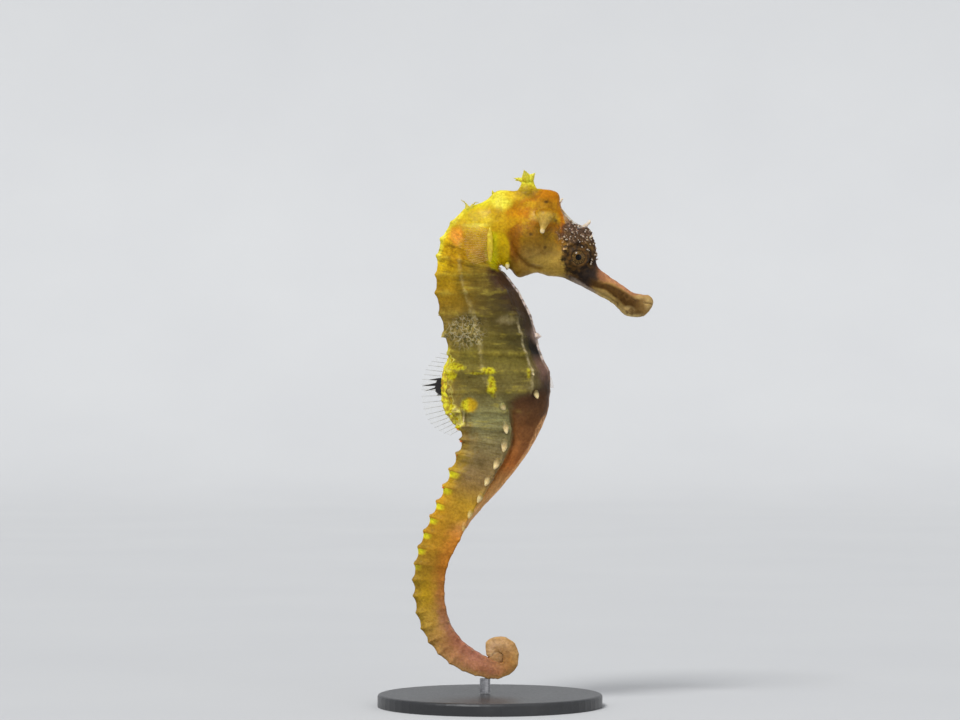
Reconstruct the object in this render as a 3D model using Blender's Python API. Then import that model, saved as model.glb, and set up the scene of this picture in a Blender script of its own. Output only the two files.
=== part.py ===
"""Seahorse, life size, as a still museum model on a plain display stand.

The animal is a spiny, long-snouted male seahorse 14 cm long, facing +X, with its middle plane at y = 0.
Its body is one loft, from the lips along the bent neck and the ringed trunk to the curled tail tip.
The loft is parted by thin cuts into snout, head, neck, trunk, brood pouch and four lengths of tail.
The origin is the middle of the stand's underside, on the surface that the model stands on.
"""
from math import cos, pi, radians, sin

import bmesh
import bpy
import numpy as np
from mathutils import Matrix

MM = 0.001                     # metres in a millimetre; the sizes below are in millimetres

# The cuts between neighbouring pieces of the body
CUT = 0.30
HALF_CUT = CUT / 2
WELD = 0.001

# The stand: a round disc and one short rod up to the lowest part of the tail
BASE_RADIUS = 27.0
BASE_THICK = 3.0
BASE_EDGE = 0.6
ROD_RADIUS = 1.25
ROD_X = -1.2
TAIL_CLEARANCE = 4.0           # from the top of the base to the underside of the tail
TAIL_LOW = BASE_THICK + TAIL_CLEARANCE

# Rings: the trunk has 11, between ring edges 1 and 12, and the tail goes on from ring edge 12.
# Ring numbers run along the body: negative on the head, whole numbers at the edges of the rings.
LIPS = -10.1
SNOUT_END = -4.75
HEAD_END = -0.35
NECK_END = 4.8
TRUNK_END = 11.3
POUCH_END = 17.6
TAIL_CUTS = (17.6, 24.5, 30.6)
TAIL_TIP = 43.0

# The ball that closes the space inside the curl, where the tail's last turn is rolled up tight
CURL_CORE = (1.6, 0.0, TAIL_LOW + 4.7)
CURL_CORE_RADIUS = 2.1
CURL_CORE_BULGE = 1.3

# Eyes: centre of the one on the +Y side, radius, and half of the flattened thickness
EYE_CENTRE = (21.1, 3.3, 107.6)
EYE_RADIUS = 2.45
EYE_BULGE = 1.95

# Spines of the head on the +Y side and on the middle plane, from foot to tip
BROW_SPINE_FOOT = (22.2, 1.9, 112.6)
BROW_SPINE_TIP = (24.1, 2.5, 116.8)
CHEEK_SPINE_FOOT = (12.4, 3.2, 117.0)
CHEEK_SPINE_TIP = (12.5, 6.6, 113.5)
NOSE_SPINE_FOOT = (24.0, 0.0, 106.4)
NOSE_SPINE_TIP = (26.2, 0.0, 106.8)
SPINE_TIP_RADIUS = 0.25

# Coronet: seat on the head, and its profile of height, radius and how far the five spines spread
CORONET_X = 9.2
CORONET_Z = 124.1
CORONET_LEAN = 0.12
CORONET_RISE = 1.15
CORONET_DROOP = 0.9            # how far the rear spine hangs below the others, for each unit of its spread
CORONET_FLATNESS = 0.85        # width across the head as a share of the length along it
CORONET_SPINES = 5
CORONET_PROFILE = ((0.0, 2.3, 0.0), (1.2, 1.65, 0.0), (2.0, 1.5, 0.5), (2.7, 1.3, 1.9), (2.4, 0.6, 0.0))

# Fins: ring numbers along the back or keel, and (height, half thickness) out from the body
FIN_THICK = 0.55
DORSAL_FIN_SPAN = (9.1, 13.3)
DORSAL_FIN_PROFILE = ((0.0, 0.4), (0.8, 1.1), (1.8, 0.9), (2.3, FIN_THICK / 2), (7.6, FIN_THICK / 2))
DORSAL_FIN_EASE = 0.06         # share of half a turn by which the fin's arc stops short at each end
ANAL_FIN_SPAN = (10.3, 10.9)
ANAL_FIN_HEIGHT = 1.1
PECTORAL_ROOT_X = -0.4
PECTORAL_ROOT_Y = 5.8
PECTORAL_TOP = 114.2
PECTORAL_ROOT_LENGTH = 7.2
PECTORAL_LENGTH = 6.2
PECTORAL_END_LENGTH = 0.8      # the shortest rays, at the two ends of the fan, against the middle ones
PECTORAL_SPREAD = 34.0
PECTORAL_FLARE = radians(17)
PECTORAL_RAYS = 9

# Half cross-sections, from the back (first) round one side to the belly (last).
# Each point is (depth, width): depth from -1 at the back to +1 at the belly, width as a share of the
# half width. Point 1 is the upper ridge, point 3 the side ridge and point 5 the lower ridge.
ROUND = [(-cos(pi * i / 7), sin(pi * i / 7)) for i in range(8)]
BROW = [(-0.90, 0), (-1.00, 0.42), (-0.62, 0.78), (-0.15, 0.90),
        (0.25, 0.95), (0.62, 0.80), (0.90, 0.42), (1.00, 0)]
GILL = [(-1.00, 0), (-0.94, 0.34), (-0.60, 0.62), (-0.15, 0.86),
        (0.25, 1.00), (0.62, 0.88), (0.90, 0.45), (1.00, 0)]
SEAT = [(-1.00, 0), (-1.00, 0.36), (-0.66, 0.62), (-0.18, 0.88),
        (0.22, 1.00), (0.60, 0.86), (0.90, 0.42), (1.00, 0)]
NAPE = [(-1.00, 0), (-0.96, 0.36), (-0.64, 0.74), (-0.25, 0.95),
        (0.15, 1.00), (0.55, 0.82), (0.88, 0.42), (1.00, 0)]
TRUNK = [(-0.93, 0), (-1.00, 0.38), (-0.68, 0.76), (-0.32, 1.00),
         (0.18, 0.92), (0.66, 0.66), (0.90, 0.26), (1.00, 0)]
HIP = [(-0.95, 0), (-1.00, 0.42), (-0.62, 0.74), (-0.16, 0.96),
       (0.22, 0.94), (0.62, 0.80), (0.90, 0.45), (1.00, 0)]
POUCH = [(-0.95, 0), (-1.00, 0.52), (-0.46, 0.82), (0.10, 0.88),
         (0.20, 0.74), (0.52, 0.84), (0.86, 0.54), (1.00, 0)]
POUCH_MID = [(-0.95, 0), (-1.00, 0.62), (-0.36, 0.86), (0.28, 0.90),
             (0.40, 0.70), (0.64, 0.76), (0.90, 0.45), (1.00, 0)]
POUCH_LOW = [(-0.95, 0), (-1.00, 0.72), (-0.28, 0.88), (0.42, 0.86),
             (0.54, 0.66), (0.70, 0.62), (0.90, 0.34), (1.00, 0)]
HEEL = [(-0.95, 0), (-1.00, 0.72), (-0.18, 0.90), (0.66, 0.80),
        (0.78, 0.60), (0.88, 0.42), (0.95, 0.22), (1.00, 0)]
TAIL = [(-0.93, 0), (-1.00, 0.72), (-0.10, 0.93), (0.88, 0.74),
        (0.94, 0.52), (0.95, 0.35), (0.96, 0.18), (0.96, 0)]


def curl(angle, outer, thickness):
    """The back and belly points of the curled tail tip, on a spiral about the curl's centre."""
    centre_x, centre_z = 2.6, TAIL_LOW + 5.3
    turn = radians(angle)
    inner = outer - thickness
    back = (centre_x + outer * cos(turn), centre_z + outer * sin(turn))
    belly = (centre_x + inner * cos(turn), centre_z + inner * sin(turn))
    return back, belly


# Stations along the body: ring number, back point (x, z), belly point (x, z), half width, section.
STATIONS = [
    (-10.1, (39.2, 97.1), (38.6, 95.3), 0.9, ROUND),
    (-9.9, (38.8, 98.0), (37.9, 94.1), 1.5, ROUND),
    (-9.7, (38.0, 98.6), (37.0, 93.5), 1.9, ROUND),
    (-9.2, (36.4, 98.9), (34.6, 93.4), 2.2, ROUND),
    (-8.6, (34.4, 99.3), (32.3, 94.0), 2.1, ROUND),
    (-7.8, (32.2, 100.7), (29.8, 96.4), 1.9, ROUND),
    (-5.0, (26.4, 104.9), (23.8, 99.8), 2.5, ROUND),
    (-4.4, (25.4, 106.7), (21.6, 101.0), 3.1, BROW),
    (-3.9, (25.1, 110.2), (19.0, 102.2), 3.9, BROW),
    (-3.4, (23.4, 114.3), (17.0, 103.0), 4.5, BROW),
    (-2.7, (19.8, 115.6), (13.9, 103.3), 4.9, BROW),
    (-2.1, (16.9, 119.8), (11.3, 104.1), 5.3, GILL),
    (-1.7, (16.1, 123.1), (9.1, 103.5), 5.5, GILL),
    (-1.2, (12.2, 123.8), (6.8, 103.0), 5.6, SEAT),
    (-0.5, (7.2, 123.6), (5.0, 104.7), 5.4, SEAT),
    (0.0, (4.3, 123.4), (3.6, 105.5), 5.3, NAPE),
    (0.3, (1.2, 123.0), (3.1, 105.7), 5.25, NAPE),
    (0.5, (-0.5, 121.5), (2.9, 105.8), 5.2, NAPE),
    (0.75, (-3.2, 120.4), (2.7, 105.8), 5.2, NAPE),
    (1.0, (-5.8, 119.5), (2.5, 105.7), 5.2, NAPE),
    (2.0, (-9.1, 116.0), (2.3, 105.6), 5.3, NAPE),
    (3.0, (-11.2, 111.9), (2.2, 105.3), 5.5, TRUNK),
    (4.0, (-12.1, 108.0), (2.3, 104.8), 5.7, TRUNK),
    (5.0, (-12.4, 103.5), (3.4, 103.6), 5.9, TRUNK),
    (6.0, (-12.4, 99.2), (6.5, 99.6), 6.2, TRUNK),
    (7.0, (-11.5, 94.4), (9.6, 93.6), 6.5, TRUNK),
    (9.0, (-9.5, 84.8), (12.0, 84.5), 6.8, TRUNK),
    (10.0, (-9.9, 80.4), (13.9, 80.4), 6.9, TRUNK),
    (11.0, (-9.7, 75.6), (14.4, 75.9), 6.8, HIP),
    (12.0, (-8.9, 70.8), (13.8, 70.6), 6.3, POUCH),
    (14.0, (-6.3, 64.1), (9.8, 62.0), 5.0, POUCH_MID),
    (16.0, (-8.9, 56.7), (3.6, 53.6), 4.5, POUCH_LOW),
    (18.0, (-12.0, 49.0), (-3.2, 46.1), 4.2, HEEL),
    (20.0, (-15.2, 42.0), (-7.1, 40.1), 3.9, TAIL),
    (22.0, (-17.5, 34.4), (-10.2, 33.6), 3.6, TAIL),
    (24.0, (-17.8, 26.7), (-10.9, 26.9), 3.3, TAIL),
    (26.0, (-16.1, 19.0), (-9.8, 20.7), 3.0, TAIL),
    (28.0, (-12.2, 13.0), (-7.4, 16.6), 2.9, TAIL),
    (30.0, (-6.6, 8.9), (-4.2, 13.8), 2.8, TAIL),
    (32.0, (-0.5, TAIL_LOW), (-0.7, 11.8), 2.4, TAIL),
    (33.3, *curl(-90, 5.3, 3.6), 1.8, TAIL),
    (34.6, *curl(-45, 4.7, 3.9), 1.75, TAIL),
    (35.9, *curl(0, 4.2, 3.75), 1.65, TAIL),
    (37.2, *curl(45, 4.2, 3.75), 1.55, TAIL),
    (38.5, *curl(90, 4.3, 3.8), 1.45, TAIL),
    (39.8, *curl(135, 4.6, 3.95), 1.3, TAIL),
    (41.1, *curl(180, 3.3, 2.6), 1.1, TAIL),
    (41.7, *curl(203, 2.0, 1.35), 0.97, TAIL),
    (42.2, *curl(225, 1.4, 0.9), 0.8, TAIL),
    (43.0, *curl(265, 1.0, 0.6), 0.5, TAIL),
]


def smooth(stops, values, at):
    """A smooth curve through values given at stops (Catmull-Rom), read at one place."""
    last = len(stops) - 1
    i = int(np.clip(np.searchsorted(stops, at) - 1, 0, last - 1))
    span = stops[i + 1] - stops[i]
    t = (at - stops[i]) / span

    def slope(j):
        before, after = max(j - 1, 0), min(j + 1, last)
        return (values[after] - values[before]) / (stops[after] - stops[before]) * span

    rise = values[i + 1] - values[i]
    a = slope(i)
    b = slope(i + 1)
    return values[i] + t * (a + t * (3 * rise - 2 * a - b + t * (a + b - 2 * rise)))


STOPS = np.array([station[0] for station in STATIONS])
TABLE = np.array([[*back, *belly, half_width, *np.ravel(shape)]
                  for _, back, belly, half_width, shape in STATIONS], dtype=float)


class Section:
    """One cross-section of the body, in the plane through its back point, its belly point and Y."""

    def __init__(self, ring):
        row = smooth(STOPS, TABLE, ring)
        self.ring = ring
        self.middle = (row[0:2] + row[2:4]) / 2
        self.reach = (row[2:4] - row[0:2]) / 2
        self.half_width = row[4]
        self.shape = row[5:21].reshape(8, 2)

    def place(self, depth, width):
        """The point at a share of the depth and of the half width, in millimetres."""
        x, z = self.middle + self.reach * depth
        return np.array([x, width * self.half_width, z])

    def side(self, first, last, per_span, spines):
        """Points down one side between two of the section's eight, with spines pulled out of the ridges."""
        points = []
        numbers = np.arange(8.0)
        for step in range(int((last - first) * per_span) + 1):
            at = first + step / per_span
            depth, width = smooth(numbers, self.shape, at)
            point = self.place(depth, max(width, 0.0))
            if spines and at == int(at):
                outward = point - self.place(0.0, 0.0)
                height = spine_height(int(at), self.ring)
                point = point + outward / np.linalg.norm(outward) * height
            points.append(point)
        return points


def spine_height(ridge, ring):
    """How far the spine on a ridge stands out at a ring edge: smaller down the tail."""
    tail_fade = np.clip((TAIL_TIP - 4 - ring) / 24, 0, 1)
    if ridge == 1:
        return (1.5 if ring == 8 else 0.8) * tail_fade
    if ridge == 3 and ring >= 4:
        blunt_row = 11 <= ring <= 18
        return 1.1 if blunt_row else 0.5 * tail_fade
    if ridge == 5 and 6 <= ring <= 11:
        return 0.7
    if ridge == 7 and 5 <= ring <= 8:
        return 1.2 if ring == 8 else 0.4
    return 0.0


def mirrored(side):
    """A closed outline from one side's points, back to belly: that side, then the other one upwards."""
    other = [point * (1, -1, 1) for point in reversed(side)]
    on_middle_start = abs(side[0][1]) < 1e-6
    on_middle_end = abs(side[-1][1]) < 1e-6
    other = other[1:] if on_middle_end else other
    other = other[:-1] if on_middle_start else other
    return side + other


def ring_stops(start, end, step):
    """Where a piece has cross-sections: evenly on the head, and about each ring edge on the rest."""
    stops = [start, end]
    if start < 0:
        stops += list(np.arange(start + step, min(end, 0.9) - step / 2, step))
    for edge in range(1, int(TAIL_TIP) + 1):
        if start + 0.25 < edge < end - 0.25:
            stops += [edge - 0.2, edge, edge + 0.2]
    return sorted(stops)


def material(name, colour, roughness=0.55, metallic=0.0):
    """A plain Principled finish."""
    made = bpy.data.materials.new(name)
    made.use_nodes = True
    shader = made.node_tree.nodes["Principled BSDF"]
    shader.inputs["Base Color"].default_value = (*colour, 1.0)
    shader.inputs["Roughness"].default_value = roughness
    shader.inputs["Metallic"].default_value = metallic
    return made


def add_object(name, bm, finish):
    """Turns a finished bmesh, in millimetres, into a named object with its own material."""
    bmesh.ops.recalc_face_normals(bm, faces=bm.faces)
    bmesh.ops.scale(bm, vec=(MM, MM, MM), verts=bm.verts)
    mesh = bpy.data.meshes.new(name)
    bm.to_mesh(mesh)
    bm.free()
    made = bpy.data.objects.new(name, mesh)
    bpy.context.scene.collection.objects.link(made)
    if finish is not None:
        mesh.materials.append(finish)
    return made


def loft(rows):
    """A closed body through rows of points: a grid is rolled into a tube and its two ends are filled."""
    across = len(rows)
    around = len(rows[0])
    bm = bmesh.new()
    bmesh.ops.create_grid(bm, x_segments=across - 1, y_segments=around, size=1.0)
    for vert in bm.verts:
        i = round((vert.co.x + 1) / 2 * (across - 1))
        j = round((vert.co.y + 1) / 2 * around)
        vert.co = rows[i][j % around]
    bmesh.ops.remove_doubles(bm, verts=bm.verts, dist=WELD)
    bmesh.ops.holes_fill(bm, edges=[edge for edge in bm.edges if edge.is_boundary], sides=0)
    return bm


def body_piece(name, start, end, finish, first=0, last=7, per_span=2, step=0.3, trim=HALF_CUT):
    """One length of the body between two ring numbers, or the part of it between two section points."""
    rows = []
    for ring in ring_stops(start, end, step):
        section = Section(ring)
        side = section.side(first, last, per_span, spines=ring == int(ring) and ring > 0)
        shift = section.reach / np.linalg.norm(section.reach) * trim
        if last < 7:
            side[-1] = side[-1] - np.array([shift[0], 0, shift[1]])
        if first > 0:
            side[0] = side[0] + np.array([shift[0], 0, shift[1]])
        rows.append(mirrored(side))
    return add_object(name, loft(rows), finish)


def cut_after(ring):
    """The ring number half a cut past a section, measured on its shorter side."""
    return ring + half_cut_in_rings(ring)


def cut_before(ring):
    """The ring number half a cut short of a section, measured on its shorter side."""
    return ring - half_cut_in_rings(ring)


def half_cut_in_rings(ring):
    """Half a cut as a share of a ring, from how fast the body's back and belly points move there."""
    probe = 0.05
    here = smooth(STOPS, TABLE, ring - probe)
    there = smooth(STOPS, TABLE, ring + probe)
    back_speed = np.linalg.norm(there[0:2] - here[0:2])
    belly_speed = np.linalg.norm(there[2:4] - here[2:4])
    return HALF_CUT / (min(back_speed, belly_speed) / (2 * probe))


def cone(tip, foot, radius, sides=6):
    """A spine: a slim closed cone from a foot inside the head to a tip outside it."""
    tip, foot = np.array(tip, dtype=float), np.array(foot, dtype=float)
    along = (tip - foot) / np.linalg.norm(tip - foot)
    across = np.cross(along, (0.3, 1.0, 0.2))
    across /= np.linalg.norm(across)
    upward = np.cross(along, across)
    turns = [2 * pi * i / sides for i in range(sides)]
    rows = []
    for share, size in ((0.0, radius), (0.55, radius * 0.55), (1.0, SPINE_TIP_RADIUS)):
        middle = foot + (tip - foot) * share
        rows.append([middle + size * (across * cos(turn) + upward * sin(turn)) for turn in turns])
    return loft(rows)


def merged(parts):
    """Several bmeshes as one."""
    whole = bmesh.new()
    for bm in parts:
        holder = bpy.data.meshes.new("holder")
        bm.to_mesh(holder)
        bm.free()
        whole.from_mesh(holder)
        bpy.data.meshes.remove(holder)
    return whole


def boolean(target, other, operation):
    """Joins or cuts a piece with a hidden guide object."""
    other.hide_render = True
    other.display_type = "WIRE"
    step = target.modifiers.new(other.name, "BOOLEAN")
    step.operation = operation
    step.solver = "EXACT"
    step.object = other


def mirror_y(point, side):
    """A point given for the +Y side, or its twin on the other side."""
    return (point[0], point[1] * side, point[2])


def ball(centre, radius, bulge):
    """A ball that is a little flattened from side to side: an eye, its socket or the core of the curl."""
    bm = bmesh.new()
    bmesh.ops.create_uvsphere(bm, u_segments=16, v_segments=10, radius=1.0)
    bmesh.ops.rotate(bm, verts=bm.verts, cent=(0, 0, 0), matrix=Matrix.Rotation(pi / 2, 3, "X"))
    bmesh.ops.scale(bm, vec=(radius, bulge, radius), verts=bm.verts)
    bmesh.ops.translate(bm, vec=centre, verts=bm.verts)
    return bm


def crown():
    """The coronet: a waisted column that ends in a star of five spines."""
    rows = []
    for height, radius, spread in CORONET_PROFILE:
        row = []
        for i in range(2 * CORONET_SPINES):
            turn = pi * i / CORONET_SPINES + pi
            out = spread if i % 2 == 0 else 0.0
            reach = radius + out
            rise = height + out * CORONET_RISE
            if i == 0:
                rise -= out * CORONET_DROOP
            x = CORONET_X - CORONET_LEAN * rise + reach * cos(turn)
            row.append(np.array([x, reach * CORONET_FLATNESS * sin(turn), CORONET_Z + rise]))
        rows.append(row)
    return loft(rows)


def back_fin():
    """The dorsal fin: a thick fleshy base along the back, with a thin fan on it."""
    rows = []
    for ring in ring_stops(*DORSAL_FIN_SPAN, 1):
        section = Section(ring)
        share = (ring - DORSAL_FIN_SPAN[0]) / (DORSAL_FIN_SPAN[1] - DORSAL_FIN_SPAN[0])
        fullness = sin(pi * (DORSAL_FIN_EASE + (1 - 2 * DORSAL_FIN_EASE) * share)) ** 0.5
        foot = section.place(section.shape[0][0], 0.0)
        outward = np.array([-section.reach[0], 0.0, -section.reach[1]])
        outward /= np.linalg.norm(outward)
        side = [foot + outward * (CUT + height * fullness) + np.array([0.0, half, 0.0])
                for height, half in DORSAL_FIN_PROFILE]
        rows.append(side + [point * (1, -1, 1) for point in reversed(side)])
    return loft(rows)


def belly_fin():
    """The anal fin: a tiny blade on the keel just above the brood pouch."""
    rows = []
    for share in (0.0, 0.5, 1.0):
        section = Section(ANAL_FIN_SPAN[0] + share * (ANAL_FIN_SPAN[1] - ANAL_FIN_SPAN[0]))
        foot = section.place(1.0, 0.0)
        outward = np.array([section.reach[0], 0.0, section.reach[1]])
        outward /= np.linalg.norm(outward)
        height = ANAL_FIN_HEIGHT * (0.5 + share / 2)
        rows.append([foot + outward * up + np.array([0.0, half, 0.0])
                     for up, half in ((CUT, 0.3), (height, 0.25), (height, -0.25), (CUT, -0.3))])
    return loft(rows)


def side_fin(side):
    """A pectoral fin: a thin fan spread backwards from its upright root behind the collar."""
    rows = []
    for ray in range(PECTORAL_RAYS + 1):
        share = ray / PECTORAL_RAYS
        root = np.array([PECTORAL_ROOT_X, PECTORAL_ROOT_Y, PECTORAL_TOP - share * PECTORAL_ROOT_LENGTH])
        swing = radians(PECTORAL_SPREAD * (0.5 - share))
        away = np.array([-cos(swing) * cos(PECTORAL_FLARE), sin(PECTORAL_FLARE), sin(swing)])
        length = PECTORAL_LENGTH * (PECTORAL_END_LENGTH + (1 - PECTORAL_END_LENGTH) * sin(pi * share))
        tip = root + away * length
        half = np.array([0.0, FIN_THICK / 2, 0.0])
        corners = [root - half, root + half, tip + half, tip - half]
        rows.append([corner * (1, side, 1) for corner in corners])
    return loft(rows)


def disc():
    """The stand's base, a round disc with a small bevel round its top."""
    bm = bmesh.new()
    bmesh.ops.create_cone(bm, cap_ends=True, segments=64, radius1=BASE_RADIUS, radius2=BASE_RADIUS,
                          depth=BASE_THICK)
    bmesh.ops.translate(bm, vec=(0, 0, BASE_THICK / 2), verts=bm.verts)
    rim = [edge for edge in bm.edges if all(vert.co.z > BASE_THICK - 0.01 for vert in edge.verts)]
    bmesh.ops.bevel(bm, geom=rim, offset=BASE_EDGE, segments=2, profile=0.5, affect="EDGES", material=-1)
    return bm


def rod():
    """The stand's rod, from just above the base to just under the tail."""
    low = BASE_THICK + CUT
    high = TAIL_LOW - CUT
    bm = bmesh.new()
    bmesh.ops.create_cone(bm, cap_ends=True, segments=20, radius1=ROD_RADIUS, radius2=ROD_RADIUS,
                          depth=high - low)
    bmesh.ops.translate(bm, vec=(ROD_X, 0, (low + high) / 2), verts=bm.verts)
    return bm


for existing in list(bpy.data.objects):
    bpy.data.objects.remove(existing, do_unlink=True)

# Finishes
AMBER = material("amber", (0.42, 0.22, 0.03))
TAN = material("tan", (0.36, 0.19, 0.06))
OLIVE = material("olive", (0.28, 0.20, 0.05))
LEMON = material("lemon", (0.78, 0.74, 0.06))
POUCH_BROWN = material("pouch brown", (0.30, 0.10, 0.03))
RUST = material("rust", (0.38, 0.15, 0.07))
FIN = material("fin", (0.55, 0.42, 0.20), roughness=0.4)
EYE = material("eye", (0.04, 0.025, 0.015), roughness=0.1)
PAINT = material("stand paint", (0.05, 0.05, 0.055), roughness=0.4)
STEEL = material("stand steel", (0.6, 0.6, 0.6), roughness=0.3, metallic=1.0)

# The body
snout = body_piece("snout", LIPS, cut_before(SNOUT_END), TAN, step=0.5)
head = body_piece("head", cut_after(SNOUT_END), cut_before(HEAD_END), AMBER, per_span=3, step=0.28)
neck = body_piece("neck", cut_after(HEAD_END), cut_before(NECK_END), AMBER, step=0.3)
trunk = body_piece("trunk", cut_after(NECK_END), cut_before(TRUNK_END), OLIVE)
tail_root = body_piece("tail_root", cut_after(TRUNK_END), cut_before(TAIL_CUTS[0]), OLIVE, last=4)
pouch = body_piece("brood_pouch", cut_after(TRUNK_END), cut_before(POUCH_END), POUCH_BROWN, first=4)
tail_upper = body_piece("tail_upper", cut_after(TAIL_CUTS[0]), cut_before(TAIL_CUTS[1]), AMBER, per_span=1)
tail_lower = body_piece("tail_lower", cut_after(TAIL_CUTS[1]), cut_before(TAIL_CUTS[2]), AMBER, per_span=1)
tail_curl = body_piece("tail_curl", cut_after(TAIL_CUTS[2]), TAIL_TIP, RUST, per_span=1)
curl_core = add_object("curl_core", ball(CURL_CORE, CURL_CORE_RADIUS, CURL_CORE_BULGE), None)
boolean(tail_curl, curl_core, "UNION")

# Spines of the head: one over each eye, a broad one on each cheek and a small one on the nose
head_spines = [cone(tip=NOSE_SPINE_TIP, foot=NOSE_SPINE_FOOT, radius=0.5)]
for side in (-1, 1):
    head_spines.append(cone(mirror_y(BROW_SPINE_TIP, side), mirror_y(BROW_SPINE_FOOT, side), radius=0.9))
    head_spines.append(cone(mirror_y(CHEEK_SPINE_TIP, side), mirror_y(CHEEK_SPINE_FOOT, side), radius=1.8))
boolean(head, add_object("head_spines", merged(head_spines), None), "UNION")

# Eyes, and the sockets that leave a thin gap round them
for side, name in ((-1, "eye_right"), (1, "eye_left")):
    eye = add_object(name, ball(mirror_y(EYE_CENTRE, side), EYE_RADIUS, EYE_BULGE), EYE)
    eye.data.shade_smooth()
sockets = [ball(mirror_y(EYE_CENTRE, side), EYE_RADIUS + CUT, EYE_BULGE + CUT) for side in (-1, 1)]
boolean(head, add_object("eye_sockets", merged(sockets), None), "DIFFERENCE")

coronet = add_object("coronet", crown(), LEMON)

# Fins
dorsal_fin = add_object("dorsal_fin", back_fin(), FIN)
anal_fin = add_object("anal_fin", belly_fin(), FIN)
add_object("pectoral_fin_right", side_fin(-1), FIN)
add_object("pectoral_fin_left", side_fin(1), FIN)

# The stand
add_object("stand_base", disc(), PAINT)
add_object("stand_rod", rod(), STEEL)
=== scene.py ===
from math import cos, pi, radians, sin

import bmesh
import bpy
import numpy as np
from mathutils import Matrix, Vector, noise


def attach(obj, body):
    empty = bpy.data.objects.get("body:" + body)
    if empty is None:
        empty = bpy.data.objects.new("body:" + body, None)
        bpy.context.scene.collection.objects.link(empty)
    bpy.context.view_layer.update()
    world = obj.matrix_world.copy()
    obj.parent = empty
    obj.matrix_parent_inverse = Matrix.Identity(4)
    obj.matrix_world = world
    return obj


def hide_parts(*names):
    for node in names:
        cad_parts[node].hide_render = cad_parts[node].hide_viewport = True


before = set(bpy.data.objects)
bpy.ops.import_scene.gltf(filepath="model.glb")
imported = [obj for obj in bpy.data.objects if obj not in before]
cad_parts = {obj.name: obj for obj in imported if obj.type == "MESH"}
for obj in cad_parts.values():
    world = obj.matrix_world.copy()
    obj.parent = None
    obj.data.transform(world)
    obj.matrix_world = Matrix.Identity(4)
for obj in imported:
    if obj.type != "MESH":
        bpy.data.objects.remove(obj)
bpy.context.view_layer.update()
MM = 0.001

# ---------------------------------------------------------------------------------------------
# The skin. A seahorse has no scales: thin skin lies over bony plates that meet in rings, with a
# ridge where the plates' corners line up and a spine where a ridge crosses the edge of a ring.
# It is one closed loft from the lips to the tip of the curled tail, in millimetres until it is placed.

TAIL_LOW = 7.0          # height of the tail's underside above the floor
TAIL_TIP = 43.0
FINE_RINGS = 14         # the first rings, whose steps need more rows of points

# Half cross-sections from the back round one side to the belly: (depth, width) shares.
# Point 1 is the upper ridge, point 3 the side ridge, point 5 the lower ridge and point 7 the keel.
ROUND = [(-cos(pi * i / 7), sin(pi * i / 7)) for i in range(8)]
BROW = [(-0.90, 0), (-1.00, 0.42), (-0.62, 0.78), (-0.15, 0.90),
        (0.25, 0.95), (0.62, 0.80), (0.90, 0.42), (1.00, 0)]
GILL = [(-1.00, 0), (-0.94, 0.34), (-0.60, 0.62), (-0.15, 0.86),
        (0.25, 1.00), (0.62, 0.88), (0.90, 0.45), (1.00, 0)]
SEAT = [(-1.00, 0), (-1.00, 0.36), (-0.66, 0.62), (-0.18, 0.88),
        (0.22, 1.00), (0.60, 0.86), (0.90, 0.42), (1.00, 0)]
NAPE = [(-1.00, 0), (-0.96, 0.36), (-0.64, 0.74), (-0.25, 0.95),
        (0.15, 1.00), (0.55, 0.82), (0.88, 0.42), (1.00, 0)]
TRUNK = [(-0.93, 0), (-1.00, 0.38), (-0.68, 0.76), (-0.32, 1.00),
         (0.18, 0.92), (0.66, 0.66), (0.90, 0.26), (1.00, 0)]
HIP = [(-0.95, 0), (-1.00, 0.42), (-0.62, 0.74), (-0.16, 0.96),
       (0.22, 0.94), (0.62, 0.80), (0.90, 0.45), (1.00, 0)]
POUCH = [(-0.95, 0), (-1.00, 0.52), (-0.46, 0.82), (0.10, 0.88),
         (0.20, 0.74), (0.52, 0.84), (0.86, 0.54), (1.00, 0)]
POUCH_MID = [(-0.95, 0), (-1.00, 0.62), (-0.36, 0.86), (0.28, 0.90),
             (0.40, 0.70), (0.64, 0.76), (0.90, 0.45), (1.00, 0)]
POUCH_LOW = [(-0.95, 0), (-1.00, 0.72), (-0.28, 0.88), (0.42, 0.86),
             (0.54, 0.66), (0.70, 0.62), (0.90, 0.34), (1.00, 0)]
HEEL = [(-0.95, 0), (-1.00, 0.72), (-0.18, 0.90), (0.66, 0.80),
        (0.78, 0.60), (0.88, 0.42), (0.95, 0.22), (1.00, 0)]
TAIL = [(-0.93, 0), (-1.00, 0.72), (-0.10, 0.93), (0.88, 0.74),
        (0.94, 0.52), (0.95, 0.35), (0.96, 0.18), (0.96, 0)]


def curl(angle, outer, thickness):
    """The back and belly points of the curled tail tip, on a spiral about the curl's centre."""
    centre_x, centre_z = 2.6, TAIL_LOW + 5.3
    turn = radians(angle)
    inner = outer - thickness
    back = (centre_x + outer * cos(turn), centre_z + outer * sin(turn))
    belly = (centre_x + inner * cos(turn), centre_z + inner * sin(turn))
    return back, belly


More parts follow.
